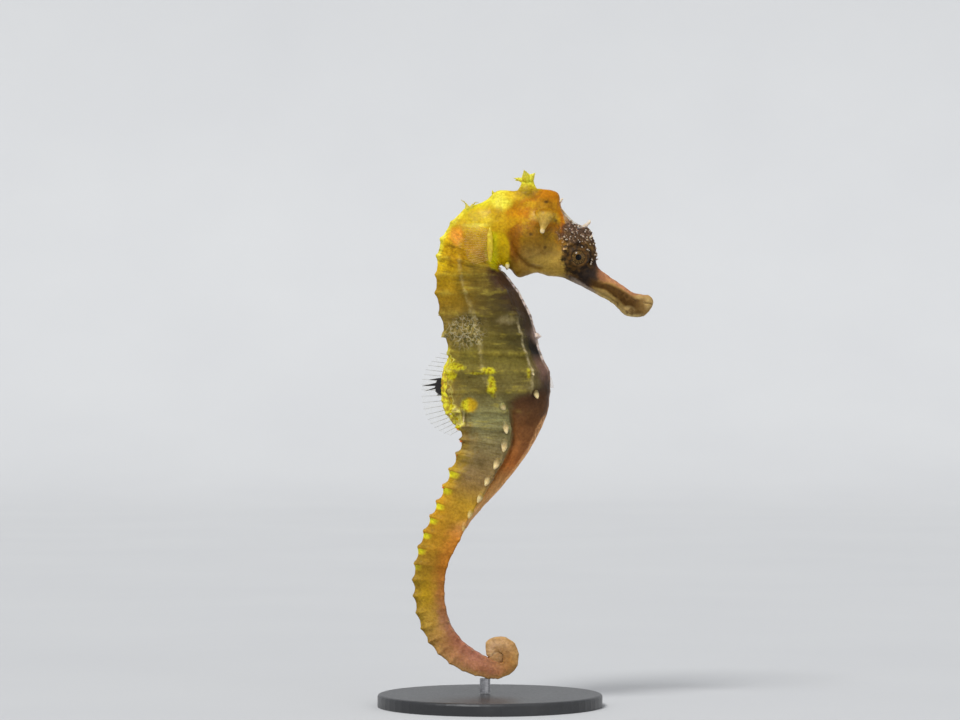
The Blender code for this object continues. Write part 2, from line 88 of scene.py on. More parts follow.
# Stations along the body: ring number, back point (x, z), belly point (x, z), half width, section.
# Ring numbers are negative on the head, and whole numbers are the edges of the rings behind it.
STATIONS = [
    (-10.3, (39.1, 96.5), (39.0, 96.1), 0.2, ROUND),
    (-10.1, (39.2, 97.1), (38.6, 95.3), 0.9, ROUND),
    (-9.9, (38.8, 98.0), (37.9, 94.1), 1.5, ROUND),
    (-9.7, (38.0, 98.6), (37.0, 93.5), 1.9, ROUND),
    (-9.2, (36.4, 98.9), (34.6, 93.4), 2.2, ROUND),
    (-8.6, (34.4, 99.3), (32.3, 94.0), 2.1, ROUND),
    (-7.8, (32.2, 100.7), (29.8, 96.4), 1.9, ROUND),
    (-5.0, (26.4, 104.9), (23.8, 99.8), 2.5, ROUND),
    (-4.4, (25.4, 106.7), (21.6, 101.0), 3.1, BROW),
    (-3.9, (25.1, 110.2), (19.0, 102.2), 3.9, BROW),
    (-3.4, (23.4, 114.3), (17.0, 103.0), 4.5, BROW),
    (-2.7, (19.8, 115.6), (13.9, 103.3), 4.9, BROW),
    (-2.1, (16.9, 119.8), (11.3, 104.1), 5.3, GILL),
    (-1.7, (16.1, 123.1), (9.1, 103.5), 5.5, GILL),
    (-1.2, (12.2, 123.8), (6.8, 103.0), 5.6, SEAT),
    (-0.5, (7.2, 123.6), (5.0, 104.7), 5.4, SEAT),
    (0.0, (4.3, 123.4), (3.6, 105.5), 5.3, NAPE),
    (0.3, (1.2, 123.0), (3.1, 105.7), 5.25, NAPE),
    (0.5, (-0.5, 121.5), (2.9, 105.8), 5.2, NAPE),
    (0.75, (-3.2, 120.4), (2.7, 105.8), 5.2, NAPE),
    (1.0, (-5.8, 119.5), (2.5, 105.7), 5.2, NAPE),
    (2.0, (-9.1, 116.0), (2.3, 105.6), 5.3, NAPE),
    (3.0, (-11.2, 111.9), (2.2, 105.3), 5.5, TRUNK),
    (4.0, (-12.1, 108.0), (2.3, 104.8), 5.7, TRUNK),
    (5.0, (-12.4, 103.5), (3.4, 103.6), 5.9, TRUNK),
    (6.0, (-12.4, 99.2), (6.5, 99.6), 6.2, TRUNK),
    (7.0, (-11.5, 94.4), (9.6, 93.6), 6.5, TRUNK),
    (9.0, (-9.5, 84.8), (12.0, 84.5), 6.8, TRUNK),
    (10.0, (-9.9, 80.4), (13.9, 80.4), 6.9, TRUNK),
    (11.0, (-9.7, 75.6), (14.4, 75.9), 6.8, HIP),
    (12.0, (-8.9, 70.8), (13.8, 70.6), 6.3, POUCH),
    (14.0, (-6.3, 64.1), (9.8, 62.0), 5.0, POUCH_MID),
    (16.0, (-8.9, 56.7), (3.6, 53.6), 4.5, POUCH_LOW),
    (18.0, (-12.0, 49.0), (-3.2, 46.1), 4.2, HEEL),
    (20.0, (-15.2, 42.0), (-7.1, 40.1), 3.9, TAIL),
    (22.0, (-17.5, 34.4), (-10.2, 33.6), 3.6, TAIL),
    (24.0, (-17.8, 26.7), (-10.9, 26.9), 3.3, TAIL),
    (26.0, (-16.1, 19.0), (-9.8, 20.7), 3.0, TAIL),
    (28.0, (-12.2, 13.0), (-7.4, 16.6), 2.9, TAIL),
    (30.0, (-6.6, 8.9), (-4.2, 13.8), 2.8, TAIL),
    (32.0, (-0.5, TAIL_LOW), (-0.7, 11.8), 2.4, TAIL),
    (33.3, *curl(-90, 5.3, 3.6), 1.8, TAIL),
    (34.6, *curl(-45, 4.7, 3.9), 1.75, TAIL),
    (35.9, *curl(0, 4.2, 3.75), 1.65, TAIL),
    (37.2, *curl(45, 4.2, 3.75), 1.55, TAIL),
    (38.5, *curl(90, 4.3, 3.8), 1.45, TAIL),
    (39.8, *curl(135, 4.6, 3.95), 1.3, TAIL),
    (41.1, *curl(180, 3.3, 2.6), 1.1, TAIL),
    (41.7, *curl(203, 2.0, 1.35), 0.97, TAIL),
    (42.2, *curl(225, 1.4, 0.9), 0.8, TAIL),
    (43.0, *curl(265, 1.0, 0.6), 0.5, TAIL),
    (43.3, *curl(272, 0.85, 0.3), 0.15, TAIL),
]


def smooth(stops, values, at):
    """A smooth curve through rows of values given at stops (Catmull-Rom), read at many places."""
    stops = np.asarray(stops, float)
    slopes = np.gradient(values, stops, axis=0)
    slopes[1:-1] = (values[2:] - values[:-2]) / (stops[2:] - stops[:-2])[:, None]
    i = np.clip(np.searchsorted(stops, at) - 1, 0, len(stops) - 2)
    span = (stops[i + 1] - stops[i])[:, None]
    t = (at - stops[i])[:, None] / span
    climb = values[i + 1] - values[i]
    a = slopes[i] * span
    b = slopes[i + 1] * span
    return values[i] + t * (a + t * (3 * climb - 2 * a - b + t * (a + b - 2 * climb)))


STOPS = np.array([stop for stop, *_ in STATIONS])
TABLE = np.array([[*back, *belly, half_width, *np.ravel(shape)]
                  for _, back, belly, half_width, shape in STATIONS], dtype=float)


def station(ring):
    """The smooth body's back point, belly point and first depth share at one ring number."""
    row = smooth(STOPS, TABLE, np.array([float(ring)]))[0]
    return row[0:2], row[2:4], row[5]


def on_body(ring, across, side):
    """Points on the smooth body: ring number, place from back 0 to belly 7, and side of the middle plane."""
    rows = smooth(STOPS, TABLE, ring)
    shape = rows[:, 5:21].reshape(-1, 8, 2)
    # The section goes on past the back and the belly as its own mirror image, so both are smooth there.
    mirror = np.array([1.0, -1.0])
    shape = np.concatenate([shape[:, 2:0:-1] * mirror, shape, shape[:, 6:4:-1] * mirror], axis=1)
    knots = np.arange(-2.0, 10.0)
    weights = smooth(knots, np.eye(12), across)
    depth_width = np.einsum("ij,ijk->ik", weights, shape)
    middle = (rows[:, 0:2] + rows[:, 2:4]) / 2
    reach = (rows[:, 2:4] - rows[:, 0:2]) / 2
    flat = middle + reach * depth_width[:, 0:1]
    return np.stack([flat[:, 0], side * depth_width[:, 1] * rows[:, 4], flat[:, 1]], axis=1)


def bell(value, middle, width):
    """1 at the middle, falling smoothly to 0 a few widths away."""
    return np.exp(-((value - middle) / width) ** 2)


def rise(value, low, high):
    """0 below low, 1 above high and smooth between."""
    t = np.clip((value - low) / (high - low), 0, 1)
    return t * t * (3 - 2 * t)


def band(value, low, full, still, gone):
    """0 below low and above gone, 1 from full to still, and smooth between."""
    return rise(value, low, full) * (1 - rise(value, still, gone))


# The eye, which the skin wraps like a turret up to the edge of the iris
EYE_CENTRE = np.array([21.1, 3.3, 107.6])
EYE_RADIUS = 2.45
EYE_BULGE = 1.95
IRIS_OPENING = 1.72
LID_THICK = 0.16
# The crease round the gill cover: its middle in x and z, and its half width and half height
GILL_CREASE = (13.0, 113.0, 8.2, 8.0)

RIDGES = (1, 3, 5)
KEEL = 7
RING_HEIGHT = 0.16
RING_WIDTH = 0.17
RIDGE_HEIGHT = 0.30
TOOTH_HEIGHT = 0.62
HEAD_STEP = 0.062       # distance between rows of points on the head, in ring numbers
SIDE_COLUMNS = 77


def row_numbers():
    """Where the skin has rows: evenly on the head, then closer together at the edge of each ring."""
    rows = [np.arange(STOPS[0], 0.5, HEAD_STEP)]
    for edge in range(1, int(TAIL_TIP)):
        count = 12 if edge <= FINE_RINGS else 7
        spread = np.linspace(-1, 1, count, endpoint=False)
        rows.append(edge + 0.5 * np.sign(spread) * np.abs(spread) ** 1.6)
    rows.append(np.linspace(TAIL_TIP - 0.5, STOPS[-1], 6))
    return np.concatenate(rows)


def column_numbers():
    """Where the skin has columns from back to belly: closer together along the ridges."""
    fine = np.linspace(0, 7, 2000)
    density = 1 + 1.6 * sum(bell(fine, ridge, 0.3) for ridge in (*RIDGES, KEEL))
    total = np.cumsum(density)
    total = (total - total[0]) / (total[-1] - total[0])
    return np.interp(np.linspace(0, 1, SIDE_COLUMNS + 1), total, fine)


def ridge_strength(ridge, ring):
    """How strongly a ridge shows at a ring: it fades in behind the head and out towards the tip."""
    if ridge == 5:
        return band(ring, 4.6, 6.0, 10.9, 11.6)
    low, full = {1: (0.7, 1.6), 3: (2.6, 4.5)}[ridge]
    return rise(ring, low, full) * (1 - 0.75 * rise(ring, 16, 41))


def on_pouch(ring, across):
    """1 on the smooth brood pouch and 0 on the ringed body."""
    return rise(across, 3.5, 4.1) * band(ring, 10.9, 11.8, 16.8, 18.4)


def head_relief(ring, across, x, z, flank):
    """The forms of the head and the snout."""
    # The gill cover is a blown-up oval plate with a crease round its rear and lower edge,
    # and faint rays run back over it.
    oval = np.hypot((x - 11.3) / 5.8, (z - 111.2) / 5.7)
    plate = 0.50 * np.clip(1 - oval ** 2, 0, 1)
    crease_x, crease_z, wide, high = GILL_CREASE
    rim = np.hypot((x - crease_x) / wide, (z - crease_z) / high)
    plate -= 0.34 * bell(rim, 1.0, 0.062) * (1 - rise(x, 11.8, 13.4)) * (1 - rise(z, 112.0, 115.5))
    for tilt in (-0.55, -0.25, 0.05, 0.4):
        right, up = x - 15.5, z - 110.5
        back_along = -right * cos(tilt) - up * sin(tilt)
        off = up * cos(tilt) - right * sin(tilt)
        plate += 0.14 * bell(off, 0, 0.33) * band(back_along, 0.5, 2, 6.5, 9)
    # A mound under the cheek spine, and the raised orbit
    plate += 1.15 * np.exp(-((x - 12.9) / 2.3) ** 2 - ((z - 116.8) / 1.9) ** 2)
    orbit = np.hypot(x - EYE_CENTRE[0], z - EYE_CENTRE[2])
    plate += 0.30 * bell(orbit, 3.6, 0.5) * rise(z, 106.5, 109)
    height = plate * (1 - rise(ring, -0.3, -0.05)) * rise(flank, 1.5, 2.6)
    # The crest under the coronet, and the edge of the brow
    height += 0.22 * bell(across, 0, 0.35) * band(ring, -3.4, -2.6, -1.3, -0.9)
    height += 0.20 * bell(across, 1, 0.4) * band(ring, -4.5, -3.9, -2.7, -2.1)
    # The snout is faintly ridged along its sides, with thicker lips and a slit of a mouth.
    ridged = bell(across, 2.3, 0.35) + bell(across, 4.9, 0.35)
    height += 0.13 * ridged * band(ring, -9.3, -8.3, -5.6, -4.8)
    height += 0.12 * bell(ring, -9.72, 0.12)
    height -= 0.42 * bell(across, 2.9, 0.16) * (1 - rise(ring, -9.62, -9.45))
    height -= 0.45 * bell(ring, -9.86, 0.22) * rise(across, 5.0, 6.8)
    return height


def relief(ring, across, place):
    """How far the surface stands out from the smooth body, in millimetres."""
    x, y, z = place.T
    size = 1 - 0.72 * rise(ring, 13, 41)
    gap = ring - np.round(ring)
    bare = 1 - on_pouch(ring, across)
    # The rings are lower in the curl, on the belly, on the tail's sides and behind the gill flap.
    soft = rise(ring, 0.75, 1.3) * bare * (1 - 0.7 * rise(ring, 30, 33))
    soft = soft * (1 - 0.7 * rise(across, 5.3, 6.0) * band(ring, 2.5, 4, 10.5, 11.5))
    soft = soft * (1 - 0.7 * rise(across, 1.5, 2.4) * rise(ring, 13, 17))
    soft = soft * (1 - 0.6 * rise(across, 0.8, 1.6) * bell(ring, 2.6, 1.1))
    height = RING_HEIGHT * size * soft * (bell(gap, 0, RING_WIDTH) + bell(gap, 0, 0.3) - 1)
    # Along the back the rings end in teeth, steep towards the head and sloping away behind.
    tooth = np.where(gap < 0, np.exp(gap / 0.09), np.exp(-gap / 0.30))
    toothed = rise(ring, 10.5, 13.0) * (1 - 0.45 * rise(ring, 17, 20))
    toothed = toothed * (1 - 0.8 * rise(ring, 25, 31))
    height += toothed * (TOOTH_HEIGHT * tooth - 0.22) * bell(across, 1, 0.5)
    for ridge in RIDGES:
        crest = RIDGE_HEIGHT * (bell(across, ridge, 0.16) + 0.5 * bell(across, ridge, 0.45))
        knot = 0.34 * bell(gap, 0, 0.14) * bell(across, ridge, 0.24)
        height += (crest + knot) * size * bare * ridge_strength(ridge, ring)
    # The keel is a thin crest, and the crease between the tail and the pouch is a soft groove.
    height += 0.34 * bell(across, KEEL, 0.16) * band(ring, 3.4, 5.0, 10.2, 11.0)
    height -= 0.30 * bell(across, 4, 0.22) * band(ring, 11.2, 12.2, 16.5, 18)
    # The collar behind the gill opening, with a knob on the nape
    height += 0.30 * band(ring, -0.24, 0.05, 0.2, 0.75) * (1 - 0.5 * rise(across, 5.5, 6.8))
    height += 0.22 * bell(ring, 0.17, 0.16) * bell(across, 0, 1.1)
    return height + head_relief(ring, across, x, z, np.abs(y))


def roughen(place, ring):
    """Small uneven swells of the skin: knobbly over the brow, fine elsewhere, calmer in the curl."""
    brow = band(place[:, 2], 110.5, 112.5, 116.8, 118.5) * rise(place[:, 0], 15.5, 18)
    brow = brow * (1 - rise(ring, -1.6, -1.2))
    calm = 1 - 0.6 * rise(ring, 30, 42)
    out = np.empty(len(place))
    for i, point in enumerate(place):
        spot = Vector(point)
        swell = noise.fractal(spot * 0.55, 0.8, 2.1, 3)
        grain = noise.fractal(spot * 2.2 + Vector((7, 3, 5)), 0.7, 2.2, 2)
        out[i] = (0.10 * swell + 0.045 * grain) * calm[i]
        if brow[i] > 0:
            knobs = abs(noise.noise(spot * 1.15 + Vector((1, 9, 2))))
            out[i] += brow[i] * (0.7 * knobs - 0.1)
    return out


def wrap_eyes(place):
    """Draws the skin over each eyeball as a thin lid that ends at the edge of the iris."""
    wrapped = place.copy()
    flank = np.abs(place[:, 1])
    off = np.hypot(place[:, 0] - EYE_CENTRE[0], place[:, 2] - EYE_CENTRE[2])
    near = (off < EYE_RADIUS + 1.2) & (flank > 1.2)
    turned_in = 1 - rise(off, IRIS_OPENING - 0.42, IRIS_OPENING + 0.25)
    lid = LID_THICK + 0.10 * bell(off, 2.0, 0.16) - 0.62 * turned_in
    share = np.clip(1 - (off / (EYE_RADIUS + 0.25)) ** 2, 0, 1)
    turret = EYE_CENTRE[1] + EYE_BULGE * np.sqrt(share) + lid
    turret = np.where(off < EYE_RADIUS + 0.2, turret, 0.0)
    blend = 0.35
    higher = np.logaddexp(flank / blend, turret / blend) * blend
    target = np.where(off < 2.1, turret, higher)
    wrapped[near, 1] = (np.sign(place[:, 1]) * target)[near]
    return wrapped


def skin_points():
    """The skin's grid of points, with each one's ring number and place across."""
    columns = column_numbers()
    around = np.concatenate([columns, columns[-2:0:-1]])
    sides = np.concatenate([np.ones(len(columns)), -np.ones(len(columns) - 2)])
    ring, across = np.meshgrid(row_numbers(), around, indexing="ij")
    side = np.broadcast_to(sides, ring.shape)
    flat = on_body(ring.ravel(), across.ravel(), side.ravel()).reshape(*ring.shape, 3)
    along = np.gradient(flat, axis=0)
    turn = np.roll(flat, -1, axis=1) - np.roll(flat, 1, axis=1)
    outward = np.cross(turn, along)
    outward /= np.linalg.norm(outward, axis=2, keepdims=True) + 1e-9
    middle = flat.mean(axis=1, keepdims=True)
    inward = np.sum(outward * (flat - middle), axis=(1, 2)) < 0
    outward[inward] *= -1
    points = flat.reshape(-1, 3)
    height = relief(ring.ravel(), across.ravel(), points) + roughen(points, ring.ravel())
    height *= band(ring.ravel(), STOPS[0], STOPS[0] + 0.35, TAIL_TIP - 0.3, STOPS[-1])
    points = wrap_eyes(points + outward.reshape(-1, 3) * height[:, None])
    return points.reshape(flat.shape), ring, across


def add_grid(bm, points, rolled=False):
    """A grid of faces through a table of points, rolled up sideways or not, with each corner's place."""
    rows, columns = len(points), len(points[0])
    gaps = columns if rolled else columns - 1
    made = bmesh.ops.create_grid(bm, x_segments=rows - 1, y_segments=gaps, size=1.0)["verts"]
    placed = []
    for vert in made:
        i = round((vert.co.x + 1) / 2 * (rows - 1))
        j = round((vert.co.y + 1) / 2 * gaps) % columns
        vert.co = points[i][j]
        placed.append((vert, i, j))
    return placed


# What the finish has to know of each point: its ring, its place across, and its share of a spine
LAYERS = ("ring", "across", "tip")


def mark(bm, verts, *values):
    """Writes the ring number, place across and share of a spine of some points."""
    for name, value in zip(LAYERS, values):
        layer = bm.verts.layers.float[name]
        for vert in verts:
            vert[layer] = value


def add_body(bm):
    """The body's skin as one closed tube from the lips to the tip of the tail."""
    points, ring, across = skin_points()
    placed = add_grid(bm, points, rolled=True)
    for name, values in (("ring", ring), ("across", across)):
        layer = bm.verts.layers.float[name]
        for vert, i, j in placed:
            vert[layer] = values[i, j]
    bmesh.ops.remove_doubles(bm, verts=[vert for vert, _, _ in placed], dist=1e-5)
    bmesh.ops.holes_fill(bm, edges=[edge for edge in bm.edges if edge.is_boundary], sides=0)


def add_spine(bm, foot, tip, radius, ring, across, blunt=0.0, bend=(0, 0, 0)):
    """A spine: a ball drawn out to a point, or left blunt, with its foot sunk in the skin."""
    foot, tip = Vector(foot), Vector(tip)
    turn = (tip - foot).to_track_quat("Z", "Y").to_matrix()
    for vert in bmesh.ops.create_uvsphere(bm, u_segments=8, v_segments=6, radius=1.0)["verts"]:
        up = (vert.co.z + 1) / 2
        narrow = radius * (blunt + (1 - blunt) * (1.3 - up * 1.25))
        local = Vector((vert.co.x * narrow, vert.co.y * narrow, up * (tip - foot).length))
        vert.co = foot + turn @ local + Vector(bend) * up * up
        mark(bm, [vert], ring, across, up)


def surface_frame(ring, across, side):
    """A point on the skin's ridges with its outward and tailward directions."""
    here, ahead, beside = on_body(np.array([ring, ring + 0.05, ring]),
                                  np.array([across, across, across + 0.05]), np.full(3, side))
    tailward = (ahead - here) / np.linalg.norm(ahead - here)
    outward = np.cross(tailward, beside - here)
    outward /= np.linalg.norm(outward)
    back, belly, _ = station(ring)
    if np.dot(outward, here - np.insert((back + belly) / 2, 1, 0)) < 0:
        outward = -outward
    return here, outward, tailward


def add_ridge_spine(bm, ring, across, side, reach, width, out=1.0, lean=0.3, sink=0.1, blunt=0.0, bend=0.0):
    """A spine on a ridge: its reach, how much of it goes outwards and tailwards, and how deep its foot is."""
    here, outward, tailward = surface_frame(ring, across, side)
    tip = here + (outward * out + tailward * lean) * reach
    foot = here - outward * sink
    add_spine(bm, foot, tip, width, ring, round(across), blunt=blunt, bend=tailward * bend * reach)


def add_ring_spines(bm):
    """The spines where the ridges cross the edges of the rings, smaller and smaller down the tail."""
    uneven = np.random.default_rng(11)
    for ring in range(2, 41):
        fade = float(np.clip((43 - ring) / 24, 0.12, 1))
        vary = uneven.uniform(0.72, 1.12)
        back_reach = {7: 1.2, 8: 1.8, 9: 1.2}.get(ring, 0.75 * fade)
        if 12 <= ring <= 27:
            back_reach = (1.7 if ring < 18 else 1.35) * fade * vary * (1 - 0.025 * (ring - 12))
        back_width = 1.15 if ring == 8 else min(0.72 * fade, 0.55 * back_reach + 0.1)
        for side in (-1, 1):
            add_ridge_spine(bm, ring, 1, side, back_reach, back_width, lean=0.25, sink=0.25, bend=0.15)
            if 12 <= ring <= 19:
                add_pouch_spine(bm, ring, side)
            elif ring >= 4:
                add_ridge_spine(bm, ring, 3, side, 0.75 * fade, 0.36 * fade, blunt=0.1)
            if 6 <= ring <= 11:
                reach, width = {10: (1.7, 0.55), 11: (2.9, 0.80)}.get(ring, (0.85, 0.34))
                place, blunt = (5.25, 0.5) if ring == 11 else (5, 0.3)
                add_ridge_spine(bm, ring, place, side, reach, width, out=0.6, lean=0.7, blunt=blunt)
        if 3 <= ring <= 9:
            reach, width = (1.5, 1.1) if ring == 8 else (0.6, 0.28)
            add_ridge_spine(bm, ring, KEEL, 1, reach, width, sink=0.3)


def add_pouch_spine(bm, ring, side):
    """A long blunt spine of the row above the pouch, which lies back along the body."""
    from_longest = abs(ring - 14)
    seat = ring - {12: 0.22, 13: 0.20, 14: 0.10}.get(ring, 0.0)
    here, outward, tailward = surface_frame(seat, 2.85 if 13 <= ring <= 16 else 3, side)
    length = (3.5 - 0.2 * from_longest) * (0.7 if ring == 12 else 1.0)
    foot = here - outward * 0.60 - tailward * 1.2
    tip = foot + (outward * 0.56 + tailward * 0.83) * length
    bend = tailward * 0.35 - outward * 0.1
    add_spine(bm, foot, tip, 1.12 - 0.06 * from_longest, ring, 3, blunt=0.45, bend=bend)


def add_head_spines(bm):
    """The nose, forehead and throat spines, the leafy spine on the nape, and the warts of the brow."""
    add_spine(bm, (24.4, 0, 106.9), (26.1, 0, 107.4), 0.42, -4.2, 0, blunt=0.2)
    # One on each side: foot, tip, radius, ring, across and bluntness
    for (x, y, z), (tip_x, tip_y, tip_z), *rest in (
            ((21.0, 2.3, 114.2), (21.3, 3.0, 115.7), 0.34, -3.4, 1, 0.0),
            ((23.4, 2.2, 111.8), (24.9, 2.7, 113.4), 0.34, -3.4, 1, 0.0),
            ((16.5, 0.8, 120.7), (17.5, 1.2, 121.9), 0.42, -3.4, 0, 0.6),
            ((0.9, 1.0, 122.6), (0.5, 1.3, 123.9), 0.45, 0.2, 0, 0.0),
            ((4.2, 2.6, 106.6), (4.1, 3.4, 104.8), 0.58, 1.0, 6, 0.8),
            ((-4.8, 1.2, 117.5), (-5.8, 2.1, 120.8), 1.10, 0.9, 1, 0.15),
            ((-4.9, 1.2, 117.5), (-4.2, 2.1, 120.6), 1.10, 0.9, 1, 0.15),
            ((-6.1, 4.4, 71.6), (-6.4, 5.2, 67.8), 0.42, 12, 2, 0.3)):
        for side in (-1, 1):
            add_spine(bm, (x, side * y, z), (tip_x, side * tip_y, tip_z), *rest)
    warts = np.random.default_rng(5)
    for ring, across in zip(warts.uniform(-4.2, -2.5, 60), warts.uniform(0.15, 2.6, 60)):
        size = warts.uniform(0.17, 0.34)
        for side in (-1, 1):
            here, outward, _ = surface_frame(ring, across, side)
            tip = here + outward * 1.7 * size + np.array([0.05, 0, 0.10])
            add_spine(bm, here - outward * 0.3 * size, tip, size, ring, across, blunt=0.85)


def close_tube(bm, loops):
    """Joins loops of points, each a closed ring, into a tube and caps its two ends."""
    for first, second in zip(loops, loops[1:]):
        edges = {edge for loop in (first, second) for vert in loop for edge in vert.link_edges
                 if edge.other_vert(vert) in loop}
        bmesh.ops.bridge_loops(bm, edges=list(edges))
    for loop in (loops[0], loops[-1]):
        bmesh.ops.contextual_create(bm, geom=loop)


def add_string(bm, path, radii, sides=6):
    """A closed tube along a few points, with a radius at each; gives back its rings of points."""
    path = [Vector(point) for point in path]
    last = len(path) - 1
    loops = []
    for number, point in enumerate(path):
        ahead = path[min(number + 1, last)] - path[max(number - 1, 0)]
        place = Matrix.Translation(point) @ ahead.to_track_quat("Z", "Y").to_matrix().to_4x4()
        made = bmesh.ops.create_circle(bm, segments=sides, radius=radii[number], matrix=place)
        loops.append(made["verts"])
    close_tube(bm, loops)
    return loops


# Spines that follow a curve, one on each side: path, radii, ring, across, tip share at the foot, sides
CURVED_SPINES = (
    # The cheek spine, which flares out of the cheek and ends in a small knob
    (((13.1, 4.2, 117.8), (12.95, 5.0, 116.6), (12.8, 5.7, 115.6), (12.65, 6.2, 114.8),
      (12.52, 6.5, 114.25), (12.43, 6.7, 113.8), (12.36, 6.85, 113.45), (12.33, 6.9, 113.25)),
     (2.6, 1.75, 1.12, 0.78, 0.60, 0.56, 0.44, 0.14), -1.6, 2, 0.0, 16),
    # The curved spine over the eye
    (((20.6, 1.9, 113.4), (21.7, 2.1, 114.6), (22.5, 2.3, 115.1), (23.2, 2.4, 115.5),
      (23.7, 2.5, 116.0), (23.87, 2.5, 116.4), (23.92, 2.5, 116.6)),
     (1.0, 0.62, 0.44, 0.37, 0.40, 0.34, 0.12), -3.4, 2, 0.0, 16),
    # The clear edge of the crown, and the two threads of the leafy spine on the nape
    (((17.1, 1.9, 119.4), (18.3, 2.2, 117.9), (20.0, 2.3, 116.2), (21.8, 2.5, 115.3)),
     (0.09, 0.066, 0.042, 0.018), -2.2, 1, 0.55, 6),
    (((-5.6, 1.9, 120.0), (-6.1, 2.2, 121.0), (-7.0, 2.3, 121.5)),
     (0.13, 0.078, 0.026), 1.2, 1, 0.55, 6),
    (((-4.3, 1.9, 119.9), (-3.6, 2.2, 120.9), (-2.7, 2.2, 120.9)),
     (0.13, 0.078, 0.026), 1.2, 1, 0.55, 6),
)


def add_curved_spines(bm):
    for path, radii, ring, across, foot_share, sides in CURVED_SPINES:
        for side in (-1, 1):
            loops = add_string(bm, [(x, side * y, z) for x, y, z in path], radii, sides)
            for loop, share in zip(loops, np.linspace(foot_share, 1.0, len(loops))):
                mark(bm, loop, ring, across, share)


CORONET_SEAT = Vector((9.15, 0, 123.2))
CORONET_RING = -0.8
# The column of the coronet: height over its seat, and radius
CORONET_COLUMN = ((-1.8, 3.3), (-0.7, 3.3), (0.0, 3.1), (0.4, 2.75), (0.9, 2.3), (1.5, 1.9),
                  (2.2, 1.6), (2.8, 1.48), (3.4, 1.35), (3.8, 0.8))
# Its five leafy points: tip, and radius at the foot
CORONET_POINTS = (((5.5, 0, 126.7), 0.85), ((8.1, 2.4, 128.6), 1.45), ((8.1, -2.4, 128.6), 1.45),
                  ((10.9, 1.5, 127.9), 1.35), ((10.9, -1.5, 127.9), 1.35))
CORONET_MIDDLE = Vector((9.0, 0, 126.0))


def add_coronet(bm):
    """The coronet: a stout column with a wide foot on the crown, and a star of leafy points on it."""
    loops = []
    for height, radius in CORONET_COLUMN:
        loop = bmesh.ops.create_circle(bm, segments=24, radius=radius)["verts"]
        for vert in loop:
            lean = Vector((vert.co.x - 0.04 * height, vert.co.y * 0.80, height))
            vert.co = CORONET_SEAT + lean
        mark(bm, loop, CORONET_RING)
        loops.append(loop)
    close_tube(bm, loops)
    for tip, width in CORONET_POINTS:
        away = (Vector(tip) - CORONET_MIDDLE).normalized()
        foot = CORONET_MIDDLE - away * 0.3
        add_spine(bm, foot, tip, width, CORONET_RING, 0, bend=(0, 0, 0.12))
        barb = Vector(tip).lerp(CORONET_MIDDLE, 0.42)
        for turn in (Vector((-0.45, 0.3, -0.4)), Vector((0.4, -0.3, 0.5))):
            add_spine(bm, barb, barb + away * 0.6 + turn, 0.28, CORONET_RING, 0)


def add_curl_core(bm):
    """A flattened ball that closes the space inside the curl, where the last turn is rolled up tight."""
    made = bmesh.ops.create_uvsphere(bm, u_segments=32, v_segments=20, radius=1.0)["verts"]
    bmesh.ops.scale(bm, vec=(2.1, 1.3, 2.1), verts=made)
    bmesh.ops.translate(bm, vec=(1.6, 0, TAIL_LOW + 4.7), verts=made)
    mark(bm, made, 39.0, 2.5)


def smooth_object(name, bm, material):
    """Turns a bmesh in millimetres into a smooth-shaded object in metres, at the origin."""
    bmesh.ops.scale(bm, vec=(MM, MM, MM), verts=bm.verts)
    bmesh.ops.recalc_face_normals(bm, faces=bm.faces)
    mesh = bpy.data.meshes.new(name)
    bm.to_mesh(mesh)
    bm.free()
    mesh.shade_smooth()
    mesh.materials.append(material)
    made = bpy.data.objects.new(name, mesh)
    bpy.context.scene.collection.objects.link(made)
    return made


class Shade:
    """A number inside a material: sums and products of it add the Math nodes that work them out."""

    def __init__(self, socket):
        self.socket = socket

    def math(self, operation, *others):
        node = self.socket.id_data.nodes.new("ShaderNodeMath")
        node.operation = operation
        for slot, value in zip(node.inputs, (self, *others)):
            plug(slot, value)
        return Shade(node.outputs[0])

    def __add__(self, other):
        return self.math("ADD", other)

    def __sub__(self, other):
        return self.math("SUBTRACT", other)

    def __rsub__(self, other):
        return self.math("MULTIPLY_ADD", -1.0, other)

    def __mul__(self, other):
        return self.math("MULTIPLY", other)

    def __pow__(self, other):
        return self.math("POWER", other)

    def __abs__(self):
        return self.math("ABSOLUTE")

    __radd__ = __add__
    __rmul__ = __mul__


def plug(socket, value):
    """Links a value to a socket, or sets it there when it is only a number or a colour."""
    if isinstance(value, Shade):
        value = value.socket
    if isinstance(value, bpy.types.NodeSocket):
        socket.id_data.links.new(value, socket)
    else:
        socket.default_value = value


def paint(red, green, blue):
    """A colour from its everyday 0 to 255 values, as the light values that shaders use."""
    light = []
    for part in (red, green, blue):
        share = part / 255
        light.append(share / 12.92 if share <= 0.04045 else ((share + 0.055) / 1.055) ** 2.4)
    return (*light, 1.0)


